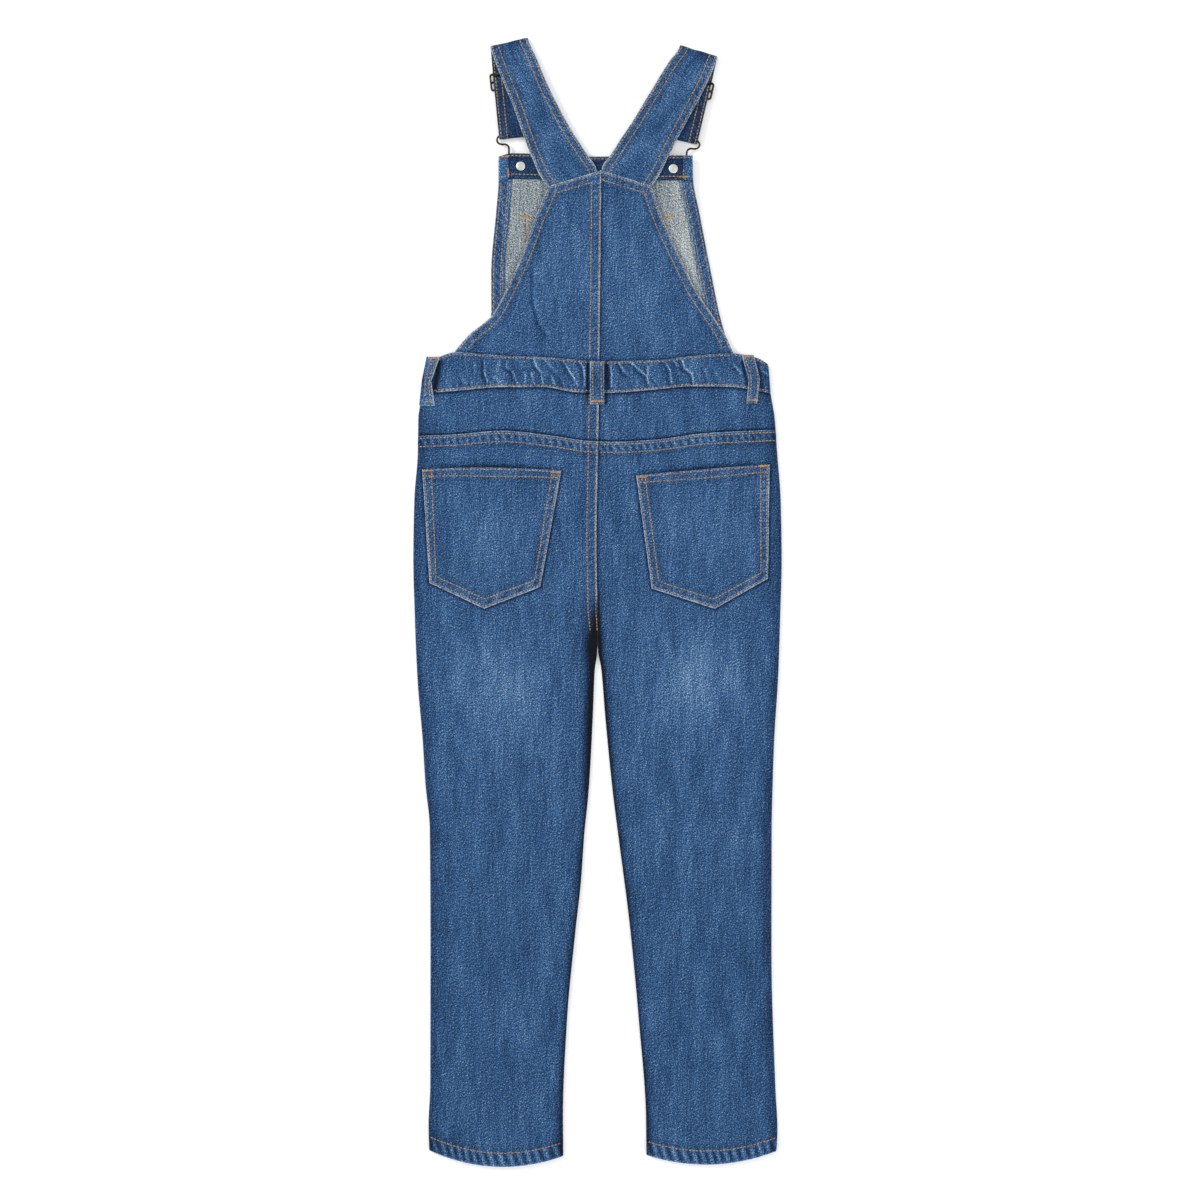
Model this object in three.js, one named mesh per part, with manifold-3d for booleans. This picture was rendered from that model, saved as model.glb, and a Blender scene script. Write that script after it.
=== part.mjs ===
import * as THREE from 'three';
import Module from 'manifold-3d';
import { mergeVertices } from 'three/addons/utils/BufferGeometryUtils.js';

// A child's denim bib dungarees laid out flat, face down, with the back showing. Millimetres.
// +X is the wearer's right, +Y runs from the hems to the shoulders, +Z is up and the floor is z = 0.
// The straps are folded flat at the shoulder and buttoned to the front bib, which lies under the back bib.

// Thickness of each wall and the gap between pieces
const GAP = 0.3;
const LEG_CLOTH = 1.5;
const BIB_CLOTH = 1.3;
const FACING = 1.1;
const POCKET = 1.2;
const BIB_POCKET = 1.1;
const STRAP = 1.8;
const LOOP = 1.2;
const BACK_BAND = 2.8;
const FRONT_BAND = 2.0;

// Extra thickness where cloth is folded or felled, and the width of those bands
const SEAM_RISE = 0.8;
const HEM_RISE = 0.8;
const POCKET_HEM_RISE = 0.5;
const SEAM_BAND = 11;
const YOKE_BAND = 9;
const LEG_HEM = 15;
const BIB_HEM = 12.5;
const POCKET_HEM = 9;

// The back layer is crowned: it falls to its side edge over this width. The front layer lies flat.
const ROUNDING = 16;

// Side edges of the body, x at each level y
const SIDES = [
  { y: 252, left: -168, right: 168 },
  { y: 236, left: -170.8, right: 171.3 },
  { y: 209, left: -175, right: 173.5 },
  { y: 184, left: -179.5, right: 177.5 },
  { y: 148, left: -180, right: 180 },
  { y: 100, left: -183.5, right: 183.5 },
  { y: 40, left: -184.5, right: 184.5 },
  { y: -20, left: -183, right: 183 },
  { y: -80, left: -180.5, right: 181 },
  { y: -140, left: -175.5, right: 177.2 },
  { y: -188, left: -172.5, right: 175.5 },
  { y: -236, left: -168, right: 174.5 },
  { y: -356, left: -167.3, right: 174.3 },
  { y: -500, left: -167.5, right: 178.3 },
  { y: -540, left: -169.3, right: 180.3 },
  { y: -566, left: -168.5, right: 179 },
];

// Inner edges of the two legs below the crotch
const CROTCH = -50.7;
const SEAM_END = CROTCH + 22;
const INNER_FALL = { below: 6, length: 50 };
const INSEAMS = [
  { y: CROTCH, left: 0.1, right: 0.4 },
  { y: -68, left: -2.5, right: 3.5 },
  { y: -116, left: -4.5, right: 7.5 },
  { y: -188, left: -8.5, right: 14.5 },
  { y: -236, left: -13.5, right: 20.5 },
  { y: -332, left: -22.5, right: 32.5 },
  { y: -428, left: -30.5, right: 41.5 },
  { y: -524, left: -34.5, right: 48.5 },
  { y: -566, left: -34.2, right: 48.9 },
];

// The centre back seam, from the top of the bib to the crotch
const CENTRE_SEAM = [
  { y: 432, x: 4 },
  { y: 245, x: 1.9 },
  { y: 152, x: 0.5 },
  { y: 62, x: -1 },
  { y: 0, x: 0 },
  { y: CROTCH, x: 0.1 },
];

// How far each leg opening dips below the line between its corners, and those corners
const HEMS = {
  left: { outer: -548.6, inner: -554.3, sag: 13.7 },
  right: { outer: -549.4, inner: -553.4, sag: 11.5 },
};

// Upper edge of the back legs, where they lap the yoke
const YOKE_SEAM = [
  { x: -180, y: 166.3 },
  { x: -146, y: 167.6 },
  { x: -95, y: 171.4 },
  { x: -44, y: 166.3 },
  { x: -8, y: 161.2 },
  { x: 20, y: 160.5 },
  { x: 57, y: 162.5 },
  { x: 108, y: 169 },
  { x: 180, y: 172.7 },
];

// Upper and lower edges of the waistband: plain in front, and bowed and gathered at the back
const FRONT_WAIST = { top: 236, bottom: 209 };
const WAIST = [
  { x: -173, top: 234, bottom: 208.7 },
  { x: -157, top: 245.5, bottom: 209.9 },
  { x: -142, top: 249.8, bottom: 211 },
  { x: -95, top: 246.7, bottom: 214.8 },
  { x: -54, top: 245, bottom: 214.8 },
  { x: -21, top: 242.5, bottom: 209.7 },
  { x: 10, top: 241, bottom: 209 },
  { x: 57, top: 242, bottom: 212.3 },
  { x: 95, top: 246.2, bottom: 215.6 },
  { x: 134, top: 248.7, bottom: 215 },
  { x: 160, top: 244, bottom: 211 },
  { x: 173, top: 236, bottom: 209 },
];

// Gathers drawn up by the elastic, a run of slanting waves on each side of the centre loop
const GATHERS = { height: 1.0, pitch: 14.5, lean: 0.45, fade: 10 };
const GATHER_RUNS = [
  { from: -134, to: -16 },
  { from: 12, to: 110 },
];

// Broad folds of the back layer: a ridge or trough along a line, with its rise and half width
const FOLDS = [
  { x1: -128, y1: -18, x2: -84, y2: -120, rise: 0.5, width: 24 },
  { x1: -60, y1: -140, x2: -57, y2: -186, rise: -0.6, width: 17 },
  { x1: 106, y1: -52, x2: 96, y2: -112, rise: 0.5, width: 26 },
  { x1: -66, y1: 330, x2: -50, y2: 262, rise: -0.5, width: 12 },
];

// Edges and underside of the front bib, which lies on its pocket and lifts to the buttons
const FRONT_BIB = [
  { y: 449, left: -99, right: 95.1 },
  { y: 421, left: -99, right: 95.8 },
  { y: 392, left: -101.3, right: 101.5 },
  { y: 328, left: -106.5, right: 114 },
  { y: 289, left: -106.5, right: 122 },
  { y: 262, left: -125.5, right: 129.5 },
  { y: 236, left: -144, right: 140 },
];
const FRONT_BIB_TOP = [
  { x: -99, y: 445.4 },
  { x: -86, y: 448.6 },
  { x: -8, y: 445.8 },
  { x: 96, y: 446.5 },
];
const FACING_DEPTH = 24.5;
const BIB_TOP_BEND = 60;
const BIB_POCKET_SHAPE = { left: -70.5, right: 70.5, top: 385, bottom: 265, taper: 6 };
const BIB_REST = [
  { y: 449, under: BIB_POCKET + GAP },
  { y: 262, under: BIB_POCKET + GAP },
  { y: 246, under: 0.1 },
  { y: 236, under: 0 },
];

// Buttons, their places and the height that they give to the bib over the wire
const BUTTONS = { left: { x: -76.8, y: 435.6 }, right: { x: 75.8, y: 433 } };
const CAP_RADIUS = 8.5;
const CAP_HEIGHT = 2.4;
const POST_RADIUS = 2.2;
const CUTTER_HEIGHT = 40;
const NAIL_RADIUS = 4.6;
const NAIL_HEIGHT = 1.2;
const WIRE = 2.0;
const WIRE_LEVEL = CAP_HEIGHT + GAP + WIRE / 2;
const BIB_AT_BUTTON = WIRE_LEVEL + WIRE / 2 + GAP;
const LIFT = { height: BIB_AT_BUTTON - BIB_POCKET - GAP, flat: 13.5, fade: 32, drop: 50 };

// Back bib: side edges, the ends of its roof-shaped top, and the height of its mid-surface, which is
// raised by the straps most under its two corners
const BACK_BIB = [
  { y: 416, left: -49.7, right: 53.9 },
  { y: 399, left: -54, right: 59.5 },
  { y: 380, left: -66, right: 67 },
  { y: 362, left: -71, right: 75 },
  { y: 336, left: -81.5, right: 87.5 },
  { y: 312, left: -92.5, right: 99.5 },
  { y: 288, left: -106, right: 115.5 },
  { y: 267, left: -129.5, right: 128.5 },
  { y: 250, left: -143.5, right: 136 },
];
const BACK_BIB_CORNER = 415.4;
const BACK_BIB_PEAK = 431.6;
const BACK_BIB_FOOT = 250.6;
const BACK_BIB_LIE = [
  { y: 432, centre: 8.1, side: 10.6 },
  { y: 415, centre: 8, side: 10.6 },
  { y: 404, centre: 7.6, side: 9.3 },
  { y: 394, centre: 6.9, side: 7.6 },
  { y: 380, centre: 6.2, side: 6.4 },
  { y: 360, centre: 5.7, side: 5.8 },
  { y: 330, centre: 5.4, side: 5.4 },
  { y: 245, centre: 5.2, side: 5.2 },
];
const BACK_BIB_CORNER_X = 50;

// The back layer along the garment: height of its mid-surface, and of its side edges over the front
const BACK_LIE = [
  { y: 252, z: 5.2, edge: LEG_CLOTH + GAP },
  { y: -470, z: 5.2, edge: LEG_CLOTH + GAP },
  { y: -526, z: 4.5, edge: LEG_CLOTH + HEM_RISE + GAP },
  { y: -546, z: 4.1, edge: LEG_CLOTH + HEM_RISE + GAP },
  { y: -566, z: 4.1, edge: LEG_CLOTH + HEM_RISE + GAP },
];

// Back patch pockets: two top corners, mid top, two bottom corners and tip
const POCKETS = {
  left: {
    topLeft: [-175.1, 132.7], topMid: [-105, 134.4], topRight: [-36.1, 131.3],
    bottomLeft: [-168, 19], tip: [-113.3, -6.9], bottomRight: [-57.2, 14.9],
  },
  right: {
    topLeft: [38.6, 126.4], topMid: [105, 132.6], topRight: [171.9, 137.6],
    bottomLeft: [54.1, 13.5], tip: [117.2, -6.9], bottomRight: [170.5, 23.3],
  },
};
const POCKET_GAPE = 0.8;

// Belt loops: edges in plan and height of the mid-surface, a row for each place down the loop
const BAND_TOP_LEVEL = BACK_LIE[0].z + BACK_BAND - LEG_CLOTH / 2;
const LOOP_ON_BAND = BAND_TOP_LEVEL + GAP + LOOP / 2;
const LOOP_ON_YOKE = { centre: 7.75, right: 6.95 };
const BELT_LOOPS = {
  centre: [
    { y: 240.5, left: -7.3, right: 6.3, z: LOOP_ON_BAND },
    { y: 235, left: -7.5, right: 6.3, z: LOOP_ON_BAND + 0.7 },
    { y: 226, left: -7.5, right: 6.5, z: LOOP_ON_BAND + 1.4 },
    { y: 217, left: -7.5, right: 6.5, z: LOOP_ON_BAND + 1.2 },
    { y: 208, left: -7.3, right: 6.7, z: LOOP_ON_BAND + 0.1 },
    { y: 203, left: -7.2, right: 6.8, z: LOOP_ON_YOKE.centre + 0.15 },
    { y: 197.5, left: -7.2, right: 6.8, z: LOOP_ON_YOKE.centre },
  ],
  right: [
    { y: 247, left: 144, right: 156, z: LOOP_ON_BAND },
    { y: 241, left: 146, right: 158.8, z: LOOP_ON_BAND + 0.7 },
    { y: 230, left: 149.7, right: 161.8, z: LOOP_ON_BAND + 1.4 },
    { y: 219, left: 151.3, right: 162.3, z: LOOP_ON_BAND + 1.2 },
    { y: 208.4, left: 150.5, right: 161.5, z: LOOP_ON_BAND + 0.2 },
    { y: 204, left: 149.7, right: 160.4, z: LOOP_ON_YOKE.right + 0.35 },
    { y: 198.5, left: 149, right: 159.5, z: LOOP_ON_YOKE.right },
  ],
};
const SIDE_LOOP = [
  { y: 245, inner: -157.5, rise: 0 },
  { y: 240, inner: -158.5, rise: 0.6 },
  { y: 230, inner: -163, rise: 1.3 },
  { y: 220, inner: -165.5, rise: 1.3 },
  { y: 211, inner: -165.5, rise: 0.8 },
  { y: 205, inner: -164.5, rise: 0.2 },
  { y: 196, inner: -162.5, rise: 0.1 },
];

// Straps: the fold line at the shoulder, the end of the turn round the buckle bar, and the run behind.
// Each row of the run gives its left and right edge with their heights.
const FOLD_RADIUS = 1.4;
const RUN_LEVEL = STRAP / 2 + 0.05;
const TURN = WIRE / 2 + GAP + STRAP / 2;
const STRAPS = {
  left: {
    fold: [[-107.6, 556.4], [-69.7, 565.1]],
    end: [[-98.3, 462.6], [-58.5, 466.8]],
    run: [
      { lx: -100.4, ly: 534.5, lz: 5.4, rx: -61.3, ry: 544.6, rz: 5.2 },
      { lx: -91.5, ly: 512.5, lz: 7.5, rx: -52.7, ry: 523.6, rz: 7.2 },
      { lx: -82.9, ly: 491.4, lz: 8.2, rx: -43.3, ry: 503.7, rz: 7.5 },
      { lx: -75.4, ly: 469.5, lz: 8.6, rx: -33.2, ry: 484.4, rz: 7.1 },
      { lx: -67.2, ly: 448, lz: 8.9, rx: -21.9, ry: 465.1, rz: 6.6 },
      { lx: -58.2, ly: 426.9, lz: 8.95, rx: -9.5, ry: 446.6, rz: 6.2 },
      { lx: -49.7, ly: 414, lz: 8.4, rx: -1.5, ry: 434.6, rz: 6 },
      { lx: -45.5, ly: 405, lz: 7, rx: 2.4, ry: 422, rz: 5.6 },
    ],
  },
  right: {
    fold: [[82.7, 557.7], [120.4, 546.1]],
    end: [[60.7, 466.4], [99.6, 457.7]],
    run: [
      { lx: 70.6, ly: 539.2, lz: 5.2, rx: 112.6, ry: 525.3, rz: 5.4 },
      { lx: 59.2, ly: 520.4, lz: 7.2, rx: 102.9, ry: 505.3, rz: 7.5 },
      { lx: 47.8, ly: 501.5, lz: 7.5, rx: 92.4, ry: 485.8, rz: 8.2 },
      { lx: 36.1, ly: 482.3, lz: 7.1, rx: 81.8, ry: 466.2, rz: 8.6 },
      { lx: 24.2, ly: 464.2, lz: 7.4, rx: 71.7, ry: 446.4, rz: 9.2 },
      { lx: 12.1, ly: 445.8, lz: 6.7, rx: 61.8, ry: 426.5, rz: 9.1 },
      { lx: 4.4, ly: 433.5, lz: 6, rx: 53.9, ry: 414, rz: 8.4 },
      { lx: 6, ly: 422, lz: 5.6, rx: 49.5, ry: 405, rz: 7 },
    ],
  },
};
const RETURN_LENGTH = 59;
const SLIDER = { fromFold: 38, width: 46.5, height: 18, thickness: 1.8, rail: 2, bar: 2.4, corner: 3 };

// One side of the buckle wire, from its shoulder to the slot, measured from the button
const BUCKLE_SIDE = [
  { x: 22.2, y: 28 },
  { x: 21.2, y: 25.2 },
  { x: 18.6, y: 23.6 },
  { x: 13.4, y: 23 },
  { x: 11, y: 20.6 },
  { x: 11, y: 14 },
  { x: 10.8, y: 10 },
  { x: 8.2, y: 6.6 },
  { x: 4.6, y: 4 },
  { x: 3.8, y: 1 },
  { x: 3.1, y: -2.2 },
  { x: 0, y: -3.9 },
];
const WIRE_STEPS = 60;

const COLOURS = {
  denim: { color: 0x3e6798, roughness: 0.9, metalness: 0 },
  wrongSide: { color: 0x8f979d, roughness: 0.9, metalness: 0 },
  facing: { color: 0x2f4a70, roughness: 0.9, metalness: 0 },
  wire: { color: 0x5a5348, roughness: 0.4, metalness: 1 },
  nail: { color: 0xc9c9c6, roughness: 0.3, metalness: 1 },
};

const wasm = await Module();
wasm.setup();

const dungarees = new THREE.Group();
dungarees.name = 'denim_dungarees';

// Reads one column of a table at any value of its key, along a smooth curve that doesn't overshoot
function reader(table, key, column) {
  const rows = [...table].sort((a, b) => a[key] - b[key]);
  const at = rows.map((row) => row[key]);
  const value = rows.map((row) => row[column]);
  const rate = at.slice(1).map((next, i) => (value[i + 1] - value[i]) / (next - at[i]));
  const slope = value.map((_, i) => {
    if (i === 0) return rate[0];
    if (i === value.length - 1) return rate[i - 1];
    const [before, after] = [rate[i - 1], rate[i]];
    return before * after <= 0 ? 0 : (2 * before * after) / (before + after);
  });
  return (where) => {
    const here = Math.min(Math.max(where, at[0]), at[at.length - 1]);
    const i = Math.min(Math.max(at.findIndex((a) => a >= here), 1), at.length - 1) - 1;
    const span = at[i + 1] - at[i];
    const t = (here - at[i]) / span;
    const [t2, t3] = [t * t, t * t * t];
    return (2 * t3 - 3 * t2 + 1) * value[i] + (t3 - 2 * t2 + t) * span * slope[i]
      + (3 * t2 - 2 * t3) * value[i + 1] + (t3 - t2) * span * slope[i + 1];
  };
}

const lerp = THREE.MathUtils.lerp;

// Falls from 1 at 0 to 0 at 1, level at both ends
function fade(amount) {
  return 0.5 + 0.5 * Math.cos(Math.PI * THREE.MathUtils.clamp(amount, 0, 1));
}

// n + 1 even steps from 0 to 1
function steps(n) {
  return Array.from({ length: n + 1 }, (_, i) => i / n);
}

const leftSide = reader(SIDES, 'y', 'left');
const rightSide = reader(SIDES, 'y', 'right');
const leftInseam = reader(INSEAMS, 'y', 'left');
const rightInseam = reader(INSEAMS, 'y', 'right');
const centreSeam = reader(CENTRE_SEAM, 'y', 'x');
const yokeSeam = reader(YOKE_SEAM, 'x', 'y');
const waistTop = reader(WAIST, 'x', 'top');
const waistBottom = reader(WAIST, 'x', 'bottom');

const SIDE_EDGE = { left: leftSide, right: rightSide };

// Inner edge of a half of the body: the centre seam, and below the crotch the inside leg
const INNER_EDGE = {
  left: (y) => (y > CROTCH ? centreSeam(y) : leftInseam(y)),
  right: (y) => (y > CROTCH ? centreSeam(y) + GAP : rightInseam(y)),
};

// How far the inner edge is rounded down: not at the centre seam, fully at the inside leg
function innerFall(y) {
  return fade((y - CROTCH + INNER_FALL.below) / INNER_FALL.length);
}

// Lower edge of a leg, at a share of the way from its side to its inside edge
function hemLine(side, share) {
  const hem = HEMS[side];
  return lerp(hem.outer, hem.inner, share) - hem.sag * 4 * share * (1 - share);
}

// Sum of the broad folds: each fades with the distance from its line
function foldRise(x, y) {
  let rise = 0;
  for (const fold of FOLDS) {
    const [dx, dy] = [fold.x2 - fold.x1, fold.y2 - fold.y1];
    const along = ((x - fold.x1) * dx + (y - fold.y1) * dy) / (dx * dx + dy * dy);
    const t = THREE.MathUtils.clamp(along, 0, 1);
    const away = Math.hypot(x - fold.x1 - t * dx, y - fold.y1 - t * dy);
    rise += fold.rise * Math.exp(-((away / fold.width) ** 2));
  }
  return rise;
}

const backLie = reader(BACK_LIE, 'y', 'z');
const backEdge = reader(BACK_LIE, 'y', 'edge');

// A wall that turns down at its edge reaches its outline with its face, so its mid-surface stands in
function edgeInset(turned) {
  return (LEG_CLOTH / 2) * Math.sin(turned * Math.PI / 2);
}

// A point of the back layer's mid-surface. Near the side and the inside leg it falls to the edge
// height along a quarter ellipse, and its normal turns level there.
function backPoint(side, x, y) {
  const level = backLie(y);
  const height = level - backEdge(y);
  const outward = side === 'left' ? -1 : 1;
  const fromSide = outward * (SIDE_EDGE[side](y) - x) - edgeInset(1);
  const fromInner = outward * (x - INNER_EDGE[side](y)) - edgeInset(innerFall(y));
  let z = level + foldRise(x, y) * THREE.MathUtils.clamp(fromSide / ROUNDING, 0, 1);
  let tilt = 0;
  for (const [distance, share, sign] of [[fromSide, 1, outward], [fromInner, innerFall(y), -outward]]) {
    const run = 1 - THREE.MathUtils.clamp(distance / ROUNDING, 0, 1);
    const rise = Math.sqrt(1 - run * run);
    z -= height * share * (1 - rise);
    tilt += sign * share * Math.atan2(height * run, ROUNDING * rise);
  }
  return { x, y, z, nx: Math.sin(tilt), nz: Math.cos(tilt) };
}

// Distances in from a rounded edge that follow equal turns of its quarter ellipse
const ROUND_STEPS = [0, 22.5, 45, 67.5, 90].map((turn) => (
  ROUNDING * (1 - Math.cos(THREE.MathUtils.degToRad(turn)))
));
const SEAM_STEPS = [0, 1.2, 4.7, SEAM_BAND - 0.4, SEAM_BAND + 0.6, ROUNDING];

// Columns of a back half, as x for a level y: rounded at the side, and with the seam band inside
function halfColumns(side, y, middleSteps) {
  const outward = side === 'left' ? -1 : 1;
  const outer = SIDE_EDGE[side](y) - outward * edgeInset(1);
  const inner = INNER_EDGE[side](y) + outward * edgeInset(innerFall(y));
  const fromOuter = ROUND_STEPS.map((d) => outer - outward * d);
  const toInner = [...SEAM_STEPS].reverse().map((d) => inner + outward * d);
  const middle = steps(middleSteps).slice(1, -1).map((u) => lerp(fromOuter.at(-1), toInner[0], u));
  return [...fromOuter, ...middle, ...toInner];
}

// A geometry made of points and triangles, with its normals
function finished(positions, indices) {
  const geometry = new THREE.BufferGeometry();
  geometry.setAttribute('position', new THREE.Float32BufferAttribute(positions, 3));
  geometry.setIndex(indices);
  geometry.computeVertexNormals();
  return geometry;
}

// A closed wall round a grid of mid-surface points { x, y, z, t, nx, ny, nz }: each point is moved out
// and in by half of its thickness t along its normal, and a rim joins the two faces all round.
function wall(grid) {
  const rows = grid.length;
  const columns = grid[0].length;
  const count = rows * columns;
  const positions = [];
  for (const face of [0.5, -0.5]) {
    for (const point of grid.flat()) {
      const offset = face * point.t;
      const { nx = 0, ny = 0, nz = 1 } = point;
      positions.push(point.x + offset * nx, point.y + offset * ny, point.z + offset * nz);
    }
  }
  const indices = [];
  const quad = (a, b, c, d) => indices.push(a, b, c, a, c, d);
  for (let r = 0; r < rows - 1; r += 1) {
    for (let c = 0; c < columns - 1; c += 1) {
      const a = r * columns + c;
      quad(a, a + 1, a + columns + 1, a + columns);
      quad(count + a, count + a + columns, count + a + columns + 1, count + a + 1);
    }
  }
  for (let c = 0; c < columns - 1; c += 1) {
    const last = (rows - 1) * columns + c;
    quad(c, count + c, count + c + 1, c + 1);
    quad(last, last + 1, count + last + 1, count + last);
  }
  for (let r = 0; r < rows - 1; r += 1) {
    const a = r * columns;
    const b = a + columns - 1;
    quad(a, a + columns, count + a + columns, count + a);
    quad(b, count + b, count + b + columns, b + columns);
  }
  if (signedVolume(positions, indices) < 0) indices.reverse();
  return finished(positions, indices);
}

// Volume of a closed triangle mesh, negative where its faces point inwards
function signedVolume(positions, indices) {
  const corner = (i) => new THREE.Vector3().fromArray(positions, 3 * indices[i]);
  let volume = 0;
  for (let i = 0; i < indices.length; i += 3) {
    volume += corner(i).dot(corner(i + 1).cross(corner(i + 2))) / 6;
  }
  return volume;
}

// Normals of a ribbon's grid, worked out from its neighbours
function withNormals(grid) {
  const at = (r, c) => {
    const row = grid[Math.min(Math.max(r, 0), grid.length - 1)];
    const point = row[Math.min(Math.max(c, 0), row.length - 1)];
    return new THREE.Vector3(point.x, point.y, point.z);
  };
  return grid.map((row, r) => row.map((point, c) => {
    const across = at(r, c + 1).sub(at(r, c - 1));
    const along = at(r + 1, c).sub(at(r - 1, c));
    const normal = across.cross(along).normalize();
    return { ...point, nx: normal.x, ny: normal.y, nz: normal.z };
  }));
}

function toManifold(geometry) {
  const bare = geometry.clone();
  bare.deleteAttribute('normal');
  bare.deleteAttribute('uv');
  const merged = mergeVertices(bare, 1e-4);
  const vertProperties = Float32Array.from(merged.attributes.position.array);
  const triVerts = Uint32Array.from(merged.index.array);
  return new wasm.Manifold(new wasm.Mesh({ numProp: 3, vertProperties, triVerts }));
}

// The first shape with the others cut out of it
function cut(geometry, cutters) {
  let solid = toManifold(geometry);
  for (const cutter of cutters) solid = solid.subtract(toManifold(cutter));
  const { vertProperties, triVerts } = solid.getMesh();
  return finished([...vertProperties], [...triVerts]);
}

function add(name, geometry, look) {
  const mesh = new THREE.Mesh(geometry, new THREE.MeshStandardMaterial(look));
  mesh.name = name;
  dungarees.add(mesh);
  return mesh;
}

// Half of the back layer between two lines across it, as a grid. topLine and bottomLine give y at an
// x, down gives the distance of each row from the top, and thickness gives t at a place.
function halfPanel({ side, topLine, bottomLine, down, middleSteps, thickness }) {
  const middle = SIDE_EDGE[side](0) / 2;
  const length = topLine(middle) - bottomLine(middle);
  return down.map((distance) => {
    const nominal = topLine(middle) - distance;
    return halfColumns(side, nominal, middleSteps).map((x) => {
      const y = lerp(topLine(x), bottomLine(x), Math.min(1, distance / length));
      const t = thickness({ x, y, fromTop: distance, fromBottom: length - distance });
      const point = backPoint(side, x, y);
      return { ...point, z: point.z + (t - LEG_CLOTH) / 2, t };
    });
  });
}

// Share of the way across a leg at its hem, from the side to the inside edge
function hemShare(side, x) {
  const [outer, inner] = [SIDE_EDGE[side](-560), INNER_EDGE[side](-560)];
  return THREE.MathUtils.clamp((x - outer) / (inner - outer), 0, 1);
}

// The felled centre back seam thickens a band of the left half beside it
function seamRise(side, x, y) {
  const beside = side === 'left' && y > SEAM_END && centreSeam(y) - x < SEAM_BAND;
  return beside ? SEAM_RISE : 0;
}

// Legs. The back leg laps the yoke with a raised band, and both hems are turned up twice.
const BACK_LEG_ROWS = [
  0, YOKE_BAND, YOKE_BAND + 1, 36, 66, 100, 134, 160, 180, 196, 208, 218, 230, 248, 275, 310, 350, 400,
  450, 500, 550, 600, 650, 685,
];
const FRONT_LEG_ROWS = [0, 70, 140, 200, 230, 259.7, 277, 325, 397, 445, 541, 640, 700];

for (const side of ['left', 'right']) {
  const bottomLine = (x) => hemLine(side, hemShare(side, x));
  const middle = SIDE_EDGE[side](0) / 2;
  const backLength = yokeSeam(middle) - bottomLine(middle);
  const backGrid = halfPanel({
    side,
    topLine: yokeSeam,
    bottomLine,
    down: [...BACK_LEG_ROWS, backLength - LEG_HEM - 1, backLength - LEG_HEM, backLength],
    middleSteps: 7,
    thickness: ({ x, y, fromTop, fromBottom }) => {
      const felled = Math.max(seamRise(side, x, y), fromTop <= YOKE_BAND ? SEAM_RISE : 0);
      return LEG_CLOTH + felled + (fromBottom <= LEG_HEM ? HEM_RISE : 0);
    },
  });
  add(`back_leg_${side}`, wall(backGrid), COLOURS.denim);

  const frontTop = FRONT_WAIST.bottom - GAP;
  const frontLength = frontTop - bottomLine(middle);
  const frontRows = [...FRONT_LEG_ROWS, frontLength - LEG_HEM - 1, frontLength - LEG_HEM, frontLength];
  const frontGrid = frontRows.map((distance) => steps(8).map((u) => {
    const nominal = frontTop - distance;
    const x = lerp(SIDE_EDGE[side](nominal), INNER_EDGE[side](nominal), u);
    const t = LEG_CLOTH + (frontLength - distance <= LEG_HEM ? HEM_RISE : 0);
    return { x, y: lerp(frontTop, bottomLine(x), distance / frontLength), z: t / 2, t };
  }));
  add(`front_leg_${side}`, wall(frontGrid), COLOURS.denim);
}

// Yoke halves, between the waistband and the raised edge of the legs
for (const side of ['left', 'right']) {
  const grid = halfPanel({
    side,
    topLine: (x) => waistBottom(x) - GAP,
    bottomLine: (x) => yokeSeam(x) + GAP,
    down: [0, 15, 30, waistBottom(SIDE_EDGE[side](0) / 2) - yokeSeam(SIDE_EDGE[side](0) / 2) - 2 * GAP],
    middleSteps: 14,
    thickness: ({ x, y }) => LEG_CLOTH + seamRise(side, x, y),
  });
  add(`back_yoke_${side}`, wall(grid), COLOURS.denim);
}

// Height of the gathers at a place on the waistband
function gatherWave(x, y) {
  for (const run of GATHER_RUNS) {
    if (x <= run.from || x >= run.to) continue;
    const ends = Math.min(x - run.from, run.to - x) / GATHERS.fade;
    const phase = (2 * Math.PI * (x - run.from + GATHERS.lean * (y - 230))) / GATHERS.pitch;
    return GATHERS.height * Math.min(1, ends) * Math.sin(phase);
  }
  return 0;
}

// Back waistband: four steps to each gather, and wider steps across the plain stretches
const gatherColumns = GATHER_RUNS.flatMap((run) => {
  const count = Math.round((run.to - run.from) / (GATHERS.pitch / 4));
  return steps(count).map((u) => lerp(run.from, run.to, u));
});
const backBandGrid = steps(4).map((share) => {
  const nominal = lerp(waistBottom(0), waistTop(0), share);
  const left = leftSide(nominal) + edgeInset(1);
  const right = rightSide(nominal) - edgeInset(1);
  const columns = [
    ...ROUND_STEPS.map((d) => left + d),
    ...gatherColumns, 126, 142,
    ...ROUND_STEPS.map((d) => right - d).reverse(),
  ];
  return columns.map((x) => {
    const y = lerp(waistBottom(x), waistTop(x), share);
    const point = backPoint(x < 0 ? 'left' : 'right', x, nominal);
    return { ...point, y, z: point.z + (BACK_BAND - LEG_CLOTH) / 2 + gatherWave(x, y), t: BACK_BAND };
  });
});
add('back_waistband', wall(backBandGrid), COLOURS.denim);

// Front waistband, a plain flat strip
const frontBandGrid = steps(2).map((share) => steps(6).map((u) => {
  const y = lerp(FRONT_WAIST.bottom, FRONT_WAIST.top, share);
  return { x: lerp(leftSide(y), rightSide(y), u), y, z: FRONT_BAND / 2, t: FRONT_BAND };
}));
add('front_waistband', wall(frontBandGrid), COLOURS.denim);

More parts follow.
